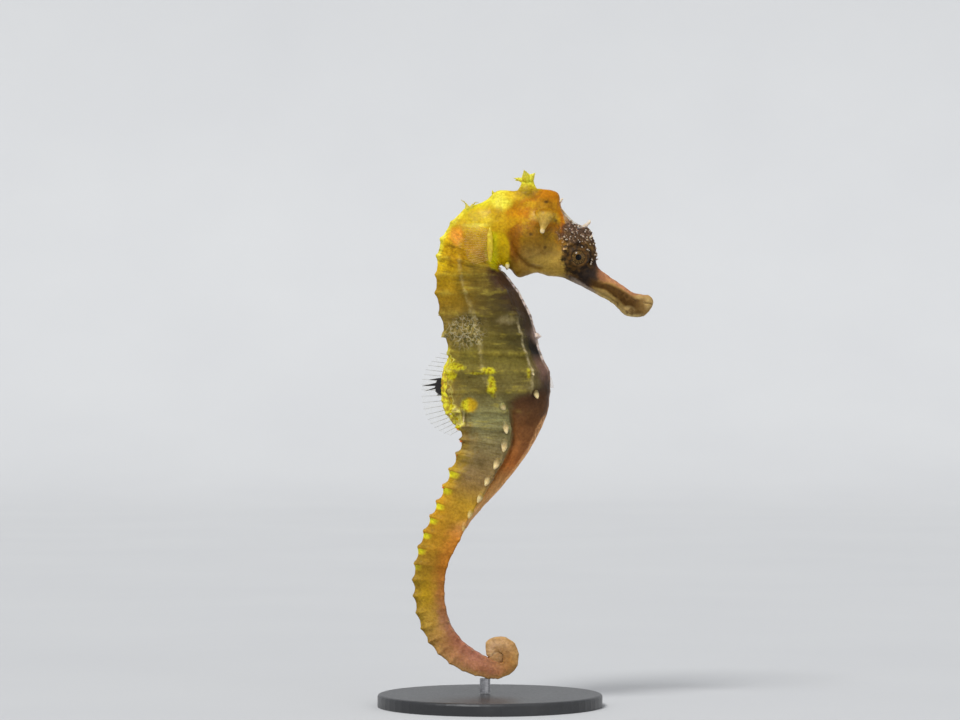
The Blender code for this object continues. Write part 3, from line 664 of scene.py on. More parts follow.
class Finish:
    """A material in the making, with the few kinds of pattern that the model's finishes share."""

    def __init__(self, name, **constants):
        self.material = bpy.data.materials.new(name)
        self.material.use_nodes = True
        self.tree = self.material.node_tree
        self.shader = self.tree.nodes["Principled BSDF"]
        self.colour = None
        for socket, value in constants.items():
            self.feed(socket, value)
        coordinates = self.add("ShaderNodeTexCoord").outputs["Object"]
        scaled = self.add("ShaderNodeVectorMath", {"operation": "SCALE"}, Vector=coordinates, Scale=1 / MM)
        self.place = scaled.outputs[0]
        split = self.add("ShaderNodeSeparateXYZ", Vector=self.place)
        self.x, self.y, self.z = (Shade(output) for output in split.outputs)

    def feed(self, socket, value):
        """Sets or links one of the surface's own sockets."""
        plug(self.shader.inputs[socket.replace("_", " ")], value)

    def add(self, kind, settings=None, **sockets):
        """Any node, with its settings made first and then the values or links of its sockets."""
        node = self.tree.nodes.new(kind)
        for setting, value in (settings or {}).items():
            if setting == "stops":
                for number, (position, colour) in enumerate(value):
                    elements = node.color_ramp.elements
                    element = elements[number] if number < 2 else elements.new(position)
                    element.position = position
                    element.color = paint(*colour)
            else:
                setattr(node, setting, value)
        for socket, value in sockets.items():
            name = socket.replace("_", " ")
            plug(node.inputs[int(name[5:]) if name.startswith("input") else name], value)
        return node

    def attribute(self, name):
        return Shade(self.add("ShaderNodeAttribute", {"attribute_name": name}).outputs["Fac"])

    def noise(self, scale, detail=2.0, roughness=0.5, place=None):
        """Uneven cloudiness between about 0.3 and 0.7, with so many clouds to a millimetre."""
        node = self.add("ShaderNodeTexNoise", Vector=place or self.place, Scale=scale, Detail=detail,
                        Roughness=roughness)
        return Shade(node.outputs["Fac"])

    def cells(self, scale):
        """Round cells, 0 in the middle of each and 1 far from it."""
        return Shade(self.add("ShaderNodeTexVoronoi", Vector=self.place, Scale=scale).outputs["Distance"])

    def step(self, value, low, high):
        """0 below low, 1 above high and smooth between; the other way round if low is the greater."""
        settings = {"interpolation_type": "SMOOTHSTEP"}
        node = self.add("ShaderNodeMapRange", settings, Value=value, From_Min=low, From_Max=high)
        return Shade(node.outputs[0])

    def between(self, value, low, full, still, gone):
        """0 below low and above gone, 1 from full to still, and smooth between."""
        return self.step(value, low, full) * self.step(value, gone, still)

    def near(self, value, middle, width):
        """1 at the middle, falling to 0 at the width to either side."""
        return self.step(abs(value - middle), width, 0.0)

    def spot(self, x, z, wide, high, soft, wobble):
        """1 inside an oval on both flanks, seen from the side, and 0 outside it."""
        across = (self.x - x) * (1 / wide)
        up = (self.z - z) * (1 / high)
        return self.step((across * across + up * up) ** 0.5 + wobble, 1 + soft, 1 - soft)

    def ramp(self, value, stops):
        """A run of colours over a value; the stops are (value, colour) with values in order."""
        first, last = stops[0][0], stops[-1][0]
        shares = [((at - first) / (last - first), colour) for at, colour in stops]
        node = self.add("ShaderNodeValToRGB", {"stops": shares}, Fac=(value - first) * (1 / (last - first)))
        return node.outputs["Color"]

    def mix(self, factor, under, over, blend="MIX"):
        """One colour laid over another by a mask; a plain (red, green, blue) is turned to light first."""
        under, over = (paint(*colour) if isinstance(colour, tuple) else colour for colour in (under, over))
        settings = {"data_type": "RGBA", "blend_type": blend}
        return self.add("ShaderNodeMix", settings, input0=factor, input6=under, input7=over).outputs[2]

    def coat(self, mask, over, blend="MIX"):
        """Lays one more colour over those that the finish has, as far as the mask says."""
        self.colour = self.mix(mask, self.colour, over, blend)

    def dab(self, strength, x, z, wide, high, soft, wobble, over):
        """Lays a colour on an oval of both flanks: its strength, middle, half sizes, softness and unevenness."""
        self.coat(self.spot(x, z, wide, high, soft, wobble) * strength, over)

    def bump(self, height, distance, strength=1.0):
        """Fine relief: a height between 0 and 1, and how deep it is in metres."""
        node = self.add("ShaderNodeBump", Height=height, Distance=distance, Strength=strength)
        self.feed("Normal", node.outputs[0])


# The skin's colours by ring number, along the middle of the flank, along the back and along the belly; the belly's
# darkest browns, under the head and along the trunk, are partly painted shade
FLANK_COLOURS = [
    (-10.3, (166, 134, 78)), (-9.5, (136, 104, 54)), (-8.5, (130, 98, 50)), (-6.5, (168, 128, 66)),
    (-5.2, (160, 116, 60)), (-4.6, (66, 48, 40)), (-4.2, (84, 60, 36)), (-2.9, (164, 124, 45)),
    (-1.0, (176, 122, 8)), (-0.2, (176, 118, 6)), (0.6, (216, 176, 20)), (1.4, (212, 172, 22)),
    (2.6, (200, 150, 12)), (3.6, (178, 144, 34)), (5.0, (130, 106, 30)), (7.0, (100, 84, 36)),
    (9.0, (126, 114, 44)), (11.0, (122, 110, 58)), (12.5, (150, 147, 98)), (14.5, (140, 124, 82)),
    (16.2, (150, 122, 76)), (17.6, (192, 150, 42)), (20.0, (200, 146, 36)), (22.0, (170, 130, 36)),
    (24.0, (192, 154, 28)), (26.0, (194, 154, 66)), (28.0, (190, 136, 84)), (30.0, (196, 136, 98)),
    (32.5, (184, 124, 90)), (35.0, (190, 140, 74)), (39.0, (212, 172, 126))]
BACK_COLOURS = [
    (-10.3, (182, 148, 92)), (-9.0, (166, 116, 76)), (-7.0, (168, 104, 82)), (-5.3, (158, 92, 78)),
    (-4.4, (80, 54, 38)), (-3.0, (96, 76, 56)), (-2.4, (196, 126, 22)), (-1.6, (206, 130, 15)),
    (-1.0, (212, 176, 18)), (0.2, (240, 232, 44)), (1.2, (236, 220, 30)), (2.2, (226, 186, 14)),
    (3.4, (240, 200, 14)), (4.4, (234, 194, 20)), (5.2, (186, 148, 16)), (6.4, (160, 124, 22)),
    (7.4, (146, 122, 50)), (9.0, (146, 124, 46)), (12.0, (156, 128, 50)), (14.0, (158, 128, 62)),
    (16.0, (200, 164, 36)), (18.0, (206, 152, 25)), (22.0, (160, 128, 32)), (26.0, (152, 122, 36)),
    (29.0, (208, 162, 102)), (33.0, (184, 142, 84)), (43.3, (194, 158, 106))]
BELLY_COLOURS_AND_SHADE = [
    (-10.3, (178, 146, 90)), (-8.8, (196, 170, 108)), (-7.6, (140, 112, 52)), (-5.8, (96, 70, 22)),
    (-4.5, (84, 62, 46)), (-3.0, (164, 134, 56)), (-1.5, (164, 132, 48)), (-0.3, (178, 150, 26)),
    (0.5, (216, 200, 40)), (2.0, (128, 96, 66)), (3.6, (92, 62, 46)), (7.2, (60, 46, 28)), (8.0, (80, 62, 46)),
    (8.4, (34, 27, 18)), (8.95, (28, 22, 15)), (9.35, (118, 92, 76)), (9.9, (126, 96, 82)),
    (10.8, (60, 48, 37)), (11.3, (86, 57, 34)), (12.2, (106, 70, 38)), (14.0, (156, 100, 52)),
    (15.0, (190, 114, 50)), (16.0, (203, 148, 84)), (18.0, (232, 176, 106)), (20.0, (214, 140, 48)),
    (22.0, (180, 116, 32)), (24.0, (180, 120, 58)), (26.0, (168, 118, 84)), (28.0, (176, 114, 84)),
    (31.0, (182, 122, 98)), (34.0, (180, 130, 74)), (43.3, (196, 156, 106))]


def skin_finish():
    """Moist skin: lemon and amber above, olive on the flanks, dark brown on the belly (darkened in part as painted
    shade), orange on the tail.
    """
    skin = Finish("skin", Subsurface_Weight=0.35, Subsurface_Scale=0.0010, Subsurface_Radius=(1.0, 0.7, 0.25),
                  Specular_IOR_Level=0.09, Coat_Roughness=0.2)
    step, between, near, spot = skin.step, skin.between, skin.near, skin.spot
    mix, coat, dab = skin.mix, skin.coat, skin.dab
    ring = skin.attribute("ring")
    across = skin.attribute("across")
    tip = skin.attribute("tip")
    cloud = skin.noise(0.35, 3)
    fine = skin.noise(1.6, 3)
    wobble = (skin.noise(0.8, 3) - 0.5) * 1.1
    banding = skin.add("ShaderNodeCombineXYZ", X=ring * 5.0, Y=across * 0.8, Z=skin.x * 0.12)
    streak = skin.noise(1.0, 3, place=banding.outputs[0])

    flank = skin.ramp(ring, FLANK_COLOURS)
    back = skin.ramp(ring, BACK_COLOURS)
    # The belly ramp's darkest bands are partly painted shade.
    belly = skin.ramp(ring, BELLY_COLOURS_AND_SHADE)
    throat = between(ring, 3.4, 5.2, 6.2, 7.8)
    belly_from = 5.3 - 0.75 * throat - 1.4 * step(ring, 10.6, 11.6) - 1.6 * step(ring, 17.4, 19.5)
    shoulder = between(ring, 2.0, 3.4, 6.4, 8.0)
    back_to = 1.4 + 1.5 * shoulder + 0.9 * near(ring, 3.2, 1.4)
    upper = (across + wobble - back_to) * (1.9 - 1.0 * shoulder)
    skin.colour = mix(step(upper, 1.0, -1.0), flank, back)
    dark_front = step(across + wobble, 3.2, 5.0) * between(ring, 4.8, 6.8, 8.4, 9.6)
    coat(dark_front * 0.8, (60, 52, 26))
    front = (across + wobble * 0.6 - belly_from) * (1 - 0.5 * near(ring, 10.9, 1.3))
    coat(step(front, -0.45, 0.5), belly)
    dab(0.75 * step(across, 5.2, 6.0), 11.3, 89.3, 1.4, 2.0, 0.5, wobble * 0.4, (152, 130, 118))  # breast

    # The crown, the forehead, the collar and the nape are the brightest places.
    glow = step(skin.noise(0.33, 3), 0.42, 0.62)
    face = between(ring, -3.0, -2.3, 0.0, 0.35) * step(across + wobble, 4.9, 3.4)
    coat(face, mix(glow, (184, 118, 4), (208, 158, 8)))
    orange = spot(14.4, 121.4, 3.2, 2.6, 0.45, wobble * 0.5)
    orange = orange.math("MAXIMUM", spot(6.6, 118.4, 2.3, 1.3, 0.6, wobble * 0.6))
    coat(orange * 0.9, mix(glow, (202, 128, 2), (214, 146, 6)))
    dab(0.85, 13.3, 119.8, 2.6, 2.1, 0.45, wobble * 0.6, mix(glow, (158, 112, 6), (178, 130, 20)))  # temple
    gill = spot(11.6, 109.8, 5.8, 5.6, 0.5, wobble * 0.6)
    tan = mix(step(skin.z, 112.5, 107.0), (128, 96, 16), (158, 130, 66))
    coat(gill * 0.85, mix(glow, mix(0.25, tan, (104, 78, 18)), tan))
    dab(0.85, 14.5, 105.6, 6.0, 2.4, 0.5, wobble * 0.5, (212, 174, 76))  # lower edge of the cheek
    # The chin is darkened in part as painted shade.
    dab(0.85, 7.0, 105.2, 2.6, 2.0, 0.5, wobble * 0.5, (164, 124, 44))  # chin

    # The collar is lemon in three places that run into each other: the crown, a narrow strip and a broad flap.
    dab(0.9, 2.4, 116.2, 1.5, 4.0, 0.5, wobble * 0.5, mix(fine, (200, 152, 10), (224, 186, 28)))  # narrow strip
    flap = mix(step(skin.x + wobble, 2.6, 0.9), (218, 182, 6), (218, 206, 14))
    dab(step(ring, -0.6, -0.05), 1.8, 109.2, 3.0, 4.5, 0.16, wobble * 0.3, flap)
    dab(1.0, 2.6, 121.9, 2.9, 2.7, 0.4, wobble * 0.5, mix(fine, (240, 222, 34), (252, 244, 86)))  # knob on the nape
    dab(0.8, 6.2, 122.8, 3.0, 1.6, 0.5, wobble * 0.5, (226, 190, 36))  # behind the coronet
    dab(1.0, 8.9, 126.2, 4.6, 2.6, 0.3, wobble * 0.3, mix(fine, (240, 222, 24), (254, 250, 84)))  # coronet
    dab(0.8, 8.9, 123.4, 2.6, 1.6, 0.5, wobble * 0.5, (172, 132, 4))  # column of the coronet
    dab(0.75, -2.6, 116.4, 3.4, 2.4, 0.5, wobble, (232, 204, 44))  # nape
    ochre = mix(fine, (174, 124, 2), (196, 150, 8))
    dab(0.9 * step(ring, 1.6, 2.2), -7.8, 108.7, 3.1, 3.7, 0.4, wobble * 0.6, ochre)
    rim = step(across, 1.45, 1.1) * between(ring, 0.9, 1.3, 3.9, 4.6)
    coat(rim, mix(fine, (230, 208, 34), (250, 242, 80)))
    coat(step(tip, 0.02, 0.2) * step(abs(ring - 0.9), 0.12, 0.08), (242, 228, 44))  # leafy spine
    dab(0.7, -3.2, 115.3, 2.7, 0.5, 0.5, wobble * 0.3, (246, 230, 90))  # pale fold
    dab(0.95, -8.1, 112.8, 1.5, 1.9, 0.6, wobble, (255, 170, 54))  # rust spot
    slope = (skin.x - 16.9) - (119.6 - skin.z) * 0.30
    clear = step(slope + wobble * 0.3, -0.25, 0.25) * between(skin.z, 113.2, 114.2, 119.4, 120.4)
    coat(clear * 0.8, (160, 134, 112))
    forehead = near(skin.x + wobble * 0.4, 17.3, 0.9) * between(skin.z, 111.9, 113.2, 117.8, 119.0)
    coat(forehead * (1 - clear) * 0.8, (190, 104, 14))

    # A dark patch round the eye, speckled with pale grey over the brow
    brow = spot(20.6, 113.2, 4.2, 3.4, 0.35, wobble)
    speckle = step(skin.noise(1.5, 4, 0.65), 0.53, 0.65)
    coat(brow * 0.9, mix(speckle, (78, 57, 42), (178, 148, 126)))
    patch = spot(21.2, 106.9, 4.0, 4.6, 0.18, wobble * 0.8)
    dusk = step(skin.noise(0.9, 3), 0.40, 0.64)
    coat(patch * 0.95, mix(dusk, (36, 25, 16), (100, 70, 32)))
    dab(0.85, 23.8, 103.0, 2.9, 2.1, 0.5, wobble, (42, 33, 28))  # dark patch below and in front of the eye
    dab(speckle, 17.6, 110.6, 1.1, 1.6, 0.5, wobble, (226, 186, 130))  # pale freckle

    # Painted shade in the gill cover's crease and in the gill opening, the stripe along the snout, painted highlights
    # on the lips, and the faint dark marks on the cheek
    crease_x, crease_z, wide, high = GILL_CREASE
    oval = (((skin.x - crease_x) * (1 / wide)) ** 2 + ((skin.z - crease_z) * (1 / high)) ** 2) ** 0.5
    rear = step(skin.x, 13.4, 11.8) * step(skin.z, 115.5, 112.0)
    # Painted shade in the crease round the gill cover
    crease_shade = near(oval + wobble * 0.02, 1.0, 0.11) * rear * step(ring, -0.1, -0.4)
    coat(crease_shade * 0.7, (108, 68, 8))
    dab(0.8 * step(ring, -0.15, -0.35), 5.9, 110.6, 1.2, 3.8, 0.6, wobble * 0.4, (138, 82, 4))  # painted shade in the gill opening
    below = step(across + wobble * 0.4, 4.0, 4.6) * between(ring, -8.9, -8.2, -5.6, -4.9)
    coat(below * 0.85, (170, 144, 82))
    half_stripe = 0.45 + 0.45 * step(ring, -6.2, -7.6)
    stripe_line = 3.35 + 0.85 * step(ring, -6.6, -5.3)
    stripe = step(abs(across + wobble * 0.4 - stripe_line) - half_stripe, 0.5, -0.15)
    stripe = stripe * between(ring, -9.4, -8.8, -5.2, -4.4)
    coat(stripe * 0.92, (78, 50, 8))
    lip = step(across + wobble * 0.3, 5.2, 5.9) * between(ring, -9.6, -9.0, -4.6, -3.4)
    coat(lip * 0.8, mix(step(ring, -6.2, -5.2), (216, 184, 112), (186, 168, 150)))
    # Painted highlights on the bulges of the lips
    for lip_highlight in ((0.6, 38.0, 96.9, 1.0, 1.4), (0.7, 33.0, 95.1, 1.3, 0.8), (0.4, 35.8, 98.2, 1.2, 0.6)):
        dab(*lip_highlight, 0.6, wobble * 0.6, (214, 184, 120))
    pink_limit = across + wobble * 0.5 - 1.1 * near(ring, -5.5, 1.6)
    pink = step(pink_limit, 2.3, 1.4) * between(ring, -9.0, -8.2, -5.3, -4.7)
    coat(pink * 0.8, mix(glow, (176, 118, 82), (204, 148, 102)))
    blotches = step(skin.noise(0.8, 3), 0.50, 0.60) * between(ring, -9.75, -9.45, -8.2, -7.2)
    coat(blotches * step(across, 1.6, 2.4) * 0.75, (106, 76, 36))
    for x, z in ((9.8, 113.1), (15.6, 116.5), (13.4, 120.9), (13.1, 110.0)):
        dab(0.8, x, z, 0.45, 0.38, 0.6, wobble * 0.5, (84, 60, 20))
    dab(0.8, 13.0, 117.2, 2.6, 1.2, 0.6, wobble * 0.5, (210, 178, 74))  # cheek
    on_cheek = step(abs(ring + 1.6), 0.03, 0.01) * step(tip, 0.04, 0.40)
    coat(on_cheek, mix(step(tip, 0.52, 0.80), (206, 172, 84), (250, 230, 176)))

    # Fine streaks along the plates, and pale broken lines on the ring edges, the ridges and the keel
    limit = 4.1 + 1.6 * step(ring, 11.7, 10.2)
    plates = between(ring, 1.2, 2.6, 15.0, 18.0) * step(across, limit, limit - 1.0)
    plates = plates * (0.35 + 0.65 * step(skin.noise(0.28, 2), 0.40, 0.62))
    coat(step(streak, 0.52, 0.34) * plates * 0.50, (92, 76, 18))
    coat(step(streak, 0.54, 0.70) * plates * 0.42, (186, 168, 62))
    broken = step(skin.noise(0.42, 2), 0.42, 0.60)
    gap = 0.5 - abs(ring.math("FRACT") - 0.5)
    ring_line = near(gap, 0.0, 0.22) * between(ring, 2.8, 4.2, 11.2, 12.4) * step(across, 5.6, 4.6)
    coat(ring_line * (0.05 + 0.32 * broken), (186, 168, 64))
    side_line = near(across + wobble * 0.3, 3.0, 0.22) * between(ring, 3.2, 4.4, 10.8, 11.8)
    side_bright = 0.06 + 0.34 * broken + 0.30 * near(ring, 8.0, 2.0)
    coat(side_line * side_bright, (192, 176, 112))
    lower_line = near(across + wobble * 0.15, 5.0, 0.13) * between(ring, 6.8, 7.4, 10.6, 11.4)
    coat(lower_line * (0.25 + 0.5 * broken), (200, 186, 140))
    keel = step(across + 0.6 * step(ring, 11.6, 13.0), 6.45, 6.75) * step(ring, 1.6, 2.6)
    keel = keel * (1 - 0.7 * between(ring, 9.2, 9.8, 11.6, 13.0))
    keel = keel * step(ring, 21.0, 18.0) * (0.35 + 0.65 * step(skin.noise(0.9, 2), 0.42, 0.54))
    coat(keel * 0.9, mix(step(ring, 9.0, 12.0), (232, 214, 202), (240, 178, 112)))

    # A lemon saddle with a painted highlight along it, lemon spots by the dorsal fin, and a grey-green film like
    # algae above them
    lemon = mix(step(fine, 0.34, 0.56), (180, 152, 10), (220, 210, 30))
    saddle = step(across + wobble * 1.6 + 0.5 * near(ring, 10.9, 1.0), 1.35, 0.9)
    saddle = saddle * between(ring, 8.5, 9.0, 13.0, 13.5)
    coat(saddle, lemon)
    # A painted highlight: a pale glint along the saddle beside the back's ridge
    painted_glint = near(across + wobble * 0.9, 1.15, 0.14) * saddle.math("MAXIMUM", 0.4)
    painted_glint = painted_glint * between(ring, 8.6, 9.0, 12.8, 13.4)
    coat(painted_glint * 0.8, (246, 240, 130))
    ragged = (skin.noise(0.7, 2, 0.45) - 0.5) * 1.9
    for lemon_spot in ((0.85, 0.4, 76.4, 1.1, 1.9), (0.9, -0.3, 80.5, 1.7, 0.8), (0.6, -3.2, 79.9, 2.0, 0.3),
                       (0.7, 0.1, 78.5, 0.6, 1.2), (0.8, -8.2, 81.4, 1.9, 0.8), (0.9, -9.4, 79.4, 1.0, 1.6),
                       (0.55, 9.2, 80.0, 0.45, 1.0), (0.35, -4.8, 90.9, 1.2, 0.7)):
        dab(*lemon_spot, 0.5, ragged, lemon)
    dab(0.4, 4.1, 92.6, 2.4, 0.9, 0.6, ragged, (178, 162, 112))
    below_fin = mix(step(skin.x, -5.9, -4.6), lemon, (204, 166, 12))
    dab(0.9, -5.0, 72.3, 1.9, 1.7, 0.30, wobble * 0.4, below_fin)
    film = spot(-6.0, 89.8, 4.2, 3.4, 0.5, wobble)
    worms = step(abs(skin.noise(0.85, 1.0, 0.4) - 0.5), 0.012, 0.05)
    film_ground = mix(step(fine, 0.4, 0.55), (92, 88, 50), (152, 132, 78))
    coat(film * 0.75, mix(worms, (198, 188, 150), film_ground))

    # Spine tips are bare bone, whitest along the pouch, and the tail's back has lemon flecks.
    pouch_row = between(ring, 9.4, 9.9, 17.0, 19.0)
    bone = mix(pouch_row, (222, 206, 130), (246, 224, 168))
    stem = step(tip, 0.40, 0.85) * step(ring, 11.6, 12.0) * step(across, 2.5, 2.8)
    coat(stem * pouch_row * 0.9, (226, 192, 124))
    bone = mix(between(ring, -0.9, -0.7, 0.3, 0.6), bone, (246, 242, 80))
    bone = mix(between(ring, -4.4, -4.2, -2.35, -2.2), bone, (232, 216, 196))
    bone = mix(between(ring, 1.15, 1.18, 1.25, 1.3), bone, (150, 118, 70))
    keeled = step(across, 6.6, 6.9) * between(ring, 2.5, 3.0, 9.5, 10.0)
    bone = mix(keeled, bone, (228, 214, 210))
    throat_knob = step(abs(ring - 1.0), 0.02, 0.01) * step(across, 5.4, 5.6) * step(tip, 0.3, 0.6)
    ember = step(across, 1.3, 1.1) * between(ring, 12.4, 13.0, 20.0, 24.0)
    bone = mix(ember, bone, (232, 112, 40))
    bare = step(tip, 0.35, 0.95) * (0.6 + 0.35 * pouch_row)
    bare = bare * step(on_cheek, 1.0, 0.5)
    bare = bare.math("MAXIMUM", step(tip, 0.1, 0.35) * step(abs(ring + 3.4), 0.02, 0.01))
    coat(throat_knob, (238, 222, 166))
    bare = bare * (1 - throat_knob)
    coat(bare, bone)
    lit = step(ring.math("FRACT"), 0.5, 0.3) * step(ring.math("FRACT"), 0.04, 0.12)
    fleck = step(abs(across - 0.85), 0.75, 0.3) * between(ring, 15.4, 16.0, 20.5, 23.5) * lit
    coat(fleck, (255, 246, 44))

    # Fine mottling everywhere
    coat(0.55, mix(step(cloud, 0.3, 0.72), (196, 190, 184), (255, 255, 255)), "MULTIPLY")
    coat(0.6, mix(step(fine, 0.32, 0.66), (206, 200, 196), (255, 255, 255)), "MULTIPLY")
    pores = step(skin.cells(1.7), 0.16, 0.06) * step(skin.noise(0.5, 1), 0.5, 0.6)
    coat(pores * 0.45, (70, 46, 16))
    skin.feed("Base Color", skin.colour)
    skin.feed("Roughness", 0.34 + 0.22 * fine)
    skin.feed("Coat Weight", 0.06 * step(cloud, 0.35, 0.65))
    skin.bump(fine + 0.5 * skin.cells(2.6) + plates * streak, 0.00012, 0.7)
    return skin.material


skin_mesh = bmesh.new()
for layer in LAYERS:
    skin_mesh.verts.layers.float.new(layer)
for add_part in (add_ring_spines, add_head_spines, add_curved_spines, add_coronet, add_curl_core, add_body):
    add_part(skin_mesh)
skin = smooth_object("skin", skin_mesh, skin_finish())
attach(skin, "root")
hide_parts("snout", "head", "coronet", "neck", "trunk", "brood_pouch",
            "tail_root", "tail_upper", "tail_lower", "tail_curl")

# ---------------------------------------------------------------------------------------------
# The eyes: two glossy balls held in turrets of skin. Each has a small black pupil in an iris that
# is dark brown with fine golden streaks from the pupil outwards, and a thin gold ring round the pupil.

PUPIL_RADIUS = 0.72
CORNEA_RADIUS = 1.5
CORNEA_HEIGHT = 0.12
# From the middle of the eye outwards, in millimetres
EYE_COLOURS = [(0.0, (5, 4, 3)), (PUPIL_RADIUS, (5, 4, 3)), (0.80, (112, 80, 30)), (0.92, (66, 46, 18)),
               (1.35, (80, 58, 24)), (1.65, (42, 29, 14)), (2.4, (24, 16, 10))]


def eye_finish():
    eye = Finish("eye", Roughness=0.16, Coat_Weight=0.10, Coat_Roughness=0.05, Specular_IOR_Level=0.12)
    right = eye.x - float(EYE_CENTRE[0])
    up = eye.z - float(EYE_CENTRE[2])
    off = (right * right + up * up) ** 0.5
    turn = right.math("ARCTAN2", up)
    spokes = eye.add("ShaderNodeCombineXYZ", X=turn * 3.2, Y=off * 0.35, Z=eye.y * 0.1)
    streak = eye.noise(2.6, 3, place=spokes.outputs[0])
    gold = eye.step(streak, 0.50, 0.66) * eye.between(off, 0.78, 0.95, 1.45, 1.75)
    eye.feed("Base Color", eye.mix(gold * 0.5, eye.ramp(off, EYE_COLOURS), (158, 124, 62)))
    return eye.material


eye_material = eye_finish()
for side, node in ((1, "eye_left"), (-1, "eye_right")):
    eye_mesh = bmesh.new()
    bmesh.ops.create_uvsphere(eye_mesh, u_segments=64, v_segments=40, radius=EYE_RADIUS)
    bmesh.ops.scale(eye_mesh, vec=(1, EYE_BULGE / EYE_RADIUS, 1), verts=eye_mesh.verts)
    for vert in eye_mesh.verts:
        if vert.co.y * side > 0:
            vert.co.y += side * CORNEA_HEIGHT * max(0.0, 1 - (vert.co.xz.length / CORNEA_RADIUS) ** 2)
    middle = Vector((EYE_CENTRE[0], side * EYE_CENTRE[1], EYE_CENTRE[2]))
    bmesh.ops.translate(eye_mesh, vec=middle, verts=eye_mesh.verts)
    eyeball = smooth_object(node + "_ball", eye_mesh, eye_material)
    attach(eyeball, "root")
    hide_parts(node)

# ---------------------------------------------------------------------------------------------
# The dorsal fin: a thick, bumpy, yellow base of muscle on the back, and on it a clear membrane
# on nineteen bony rays, with a black blotch near the base that runs out along some of the rays.

DORSAL_START = 9.1      # in ring numbers, as the end is
DORSAL_END = 13.3
DORSAL_GAPS = 18        # between its rays
DORSAL_HEIGHT = 7.5
DORSAL_FOOT = 1.8       # height over the back at which the membrane leaves the base
ROWS_TO_A_GAP = 4
MEMBRANE_THICKNESS = 0.06
FIN_BLACK = (16, 10, 9)
# One half of the base across: height over the back, and half width
DORSAL_BASE = ((-0.9, 1.1), (-0.3, 1.60), (0.4, 1.62), (1.1, 1.45), (1.75, 1.1), (2.3, 0.62), (2.6, 0.25),
               (2.7, 0.0))
# The blotch's points: height of the root, x at the root, reach, fall to a millimetre, and half width
BLOTCH_POINTS = ((78.5, -12.2, 2.6, 0.05, 0.30), (77.3, -12.6, 3.9, 0.12, 0.42),
                 (76.5, -12.6, 3.2, 0.28, 0.26), (75.0, -12.0, 0.9, 0.5, 0.22))


def back_frame(ring):
    """A point on the middle of the back and the direction straight out from it."""
    back, belly, depth_share = station(ring)
    reach = (belly - back) / 2
    foot = (back + belly) / 2 + reach * depth_share
    outward = -reach / np.linalg.norm(reach)
    return Vector((foot[0], 0, foot[1])), Vector((outward[0], 0, outward[1]))


def fullness(share):
    """How tall the fin is at a share of its length, against its tallest."""
    return sin(pi * (0.06 + 0.88 * share)) ** 0.5


def add_sheet(bm, rows, thickness=MEMBRANE_THICKNESS):
    """A thin closed sheet through rows of points."""
    add_grid(bm, rows)
    bmesh.ops.recalc_face_normals(bm, faces=bm.faces)
    bmesh.ops.solidify(bm, geom=bm.faces[:], thickness=thickness)


def add_ray(bm, path, foot_radius, tip_radius):
    """A thin tapering rod along a few points."""
    add_string(bm, path, np.linspace(foot_radius, tip_radius, len(path)))


def fin_flesh_finish(name, low, high, ochre_share):
    """Bumpy muscle under thin skin, clouded with ochre."""
    flesh = Finish(name, Subsurface_Weight=0.2, Subsurface_Scale=0.001, Subsurface_Radius=(1.0, 0.6, 0.2),
                   Coat_Roughness=0.25)
    bumps = flesh.noise(1.1, 3)
    colour = flesh.mix(flesh.step(bumps, 0.36, 0.62), low, high)
    ochre = flesh.step(flesh.noise(0.45, 2), 0.52, 0.64)
    flesh.feed("Base Color", flesh.mix(ochre * ochre_share, colour, (178, 120, 18)))
    flesh.feed("Roughness", 0.35 + 0.2 * bumps)
    flesh.bump(bumps, 0.00015)
    return flesh.material


def dark_blotch(finish):
    """The black blotch on the dorsal fin: round by the base, then thin points along the rays."""
    edge = (finish.noise(1.3, 3) - 0.5) * 0.6
    blotch = finish.spot(-11.9, 76.6, 1.25, 2.05, 0.08, edge)
    for z, start, reach, slope, wide in BLOTCH_POINTS:
        out = (finish.x - start) * -1
        width = wide - out * (wide / reach)
        point = finish.step(abs(finish.z - z + out * slope) - width, 0.05, -0.05)
        blotch = blotch.math("MAXIMUM", point * finish.between(out, -0.6, -0.4, reach - 0.2, reach))
    return blotch


def membrane_finish(name, tint, clear, blotched=False):
    """Clear skin between the rays, a little milky in clouds."""
    web = Finish(name, Roughness=0.3, Coat_Weight=0.3, Coat_Roughness=0.15, Specular_IOR_Level=0.4)
    cloud = web.noise(0.7, 3)
    milky = tuple(min(255, part + 30) for part in tint)
    colour = web.mix(web.step(cloud, 0.35, 0.65), tint, milky)
    alpha = clear + 0.06 * web.step(cloud, 0.4, 0.7)
    if blotched:
        blotch = dark_blotch(web)
        colour = web.mix(blotch, colour, FIN_BLACK)
        alpha = alpha + blotch
    web.feed("Base Color", colour)
    web.feed("Alpha", alpha.math("MINIMUM", 1.0))
    return web.material


def ray_finish(name, low, high, blotched=False):
    """Bony rays, jointed across every fraction of a millimetre."""
    ray = Finish(name, Roughness=0.4, Specular_IOR_Level=0.5)
    joints = ray.noise(3.0, 1)
    colour = ray.mix(ray.step(joints, 0.4, 0.6), low, high)
    if blotched:
        colour = ray.mix(dark_blotch(ray), colour, FIN_BLACK)
    ray.feed("Base Color", colour)
    ray.bump(joints, 0.00003)
    return ray.material


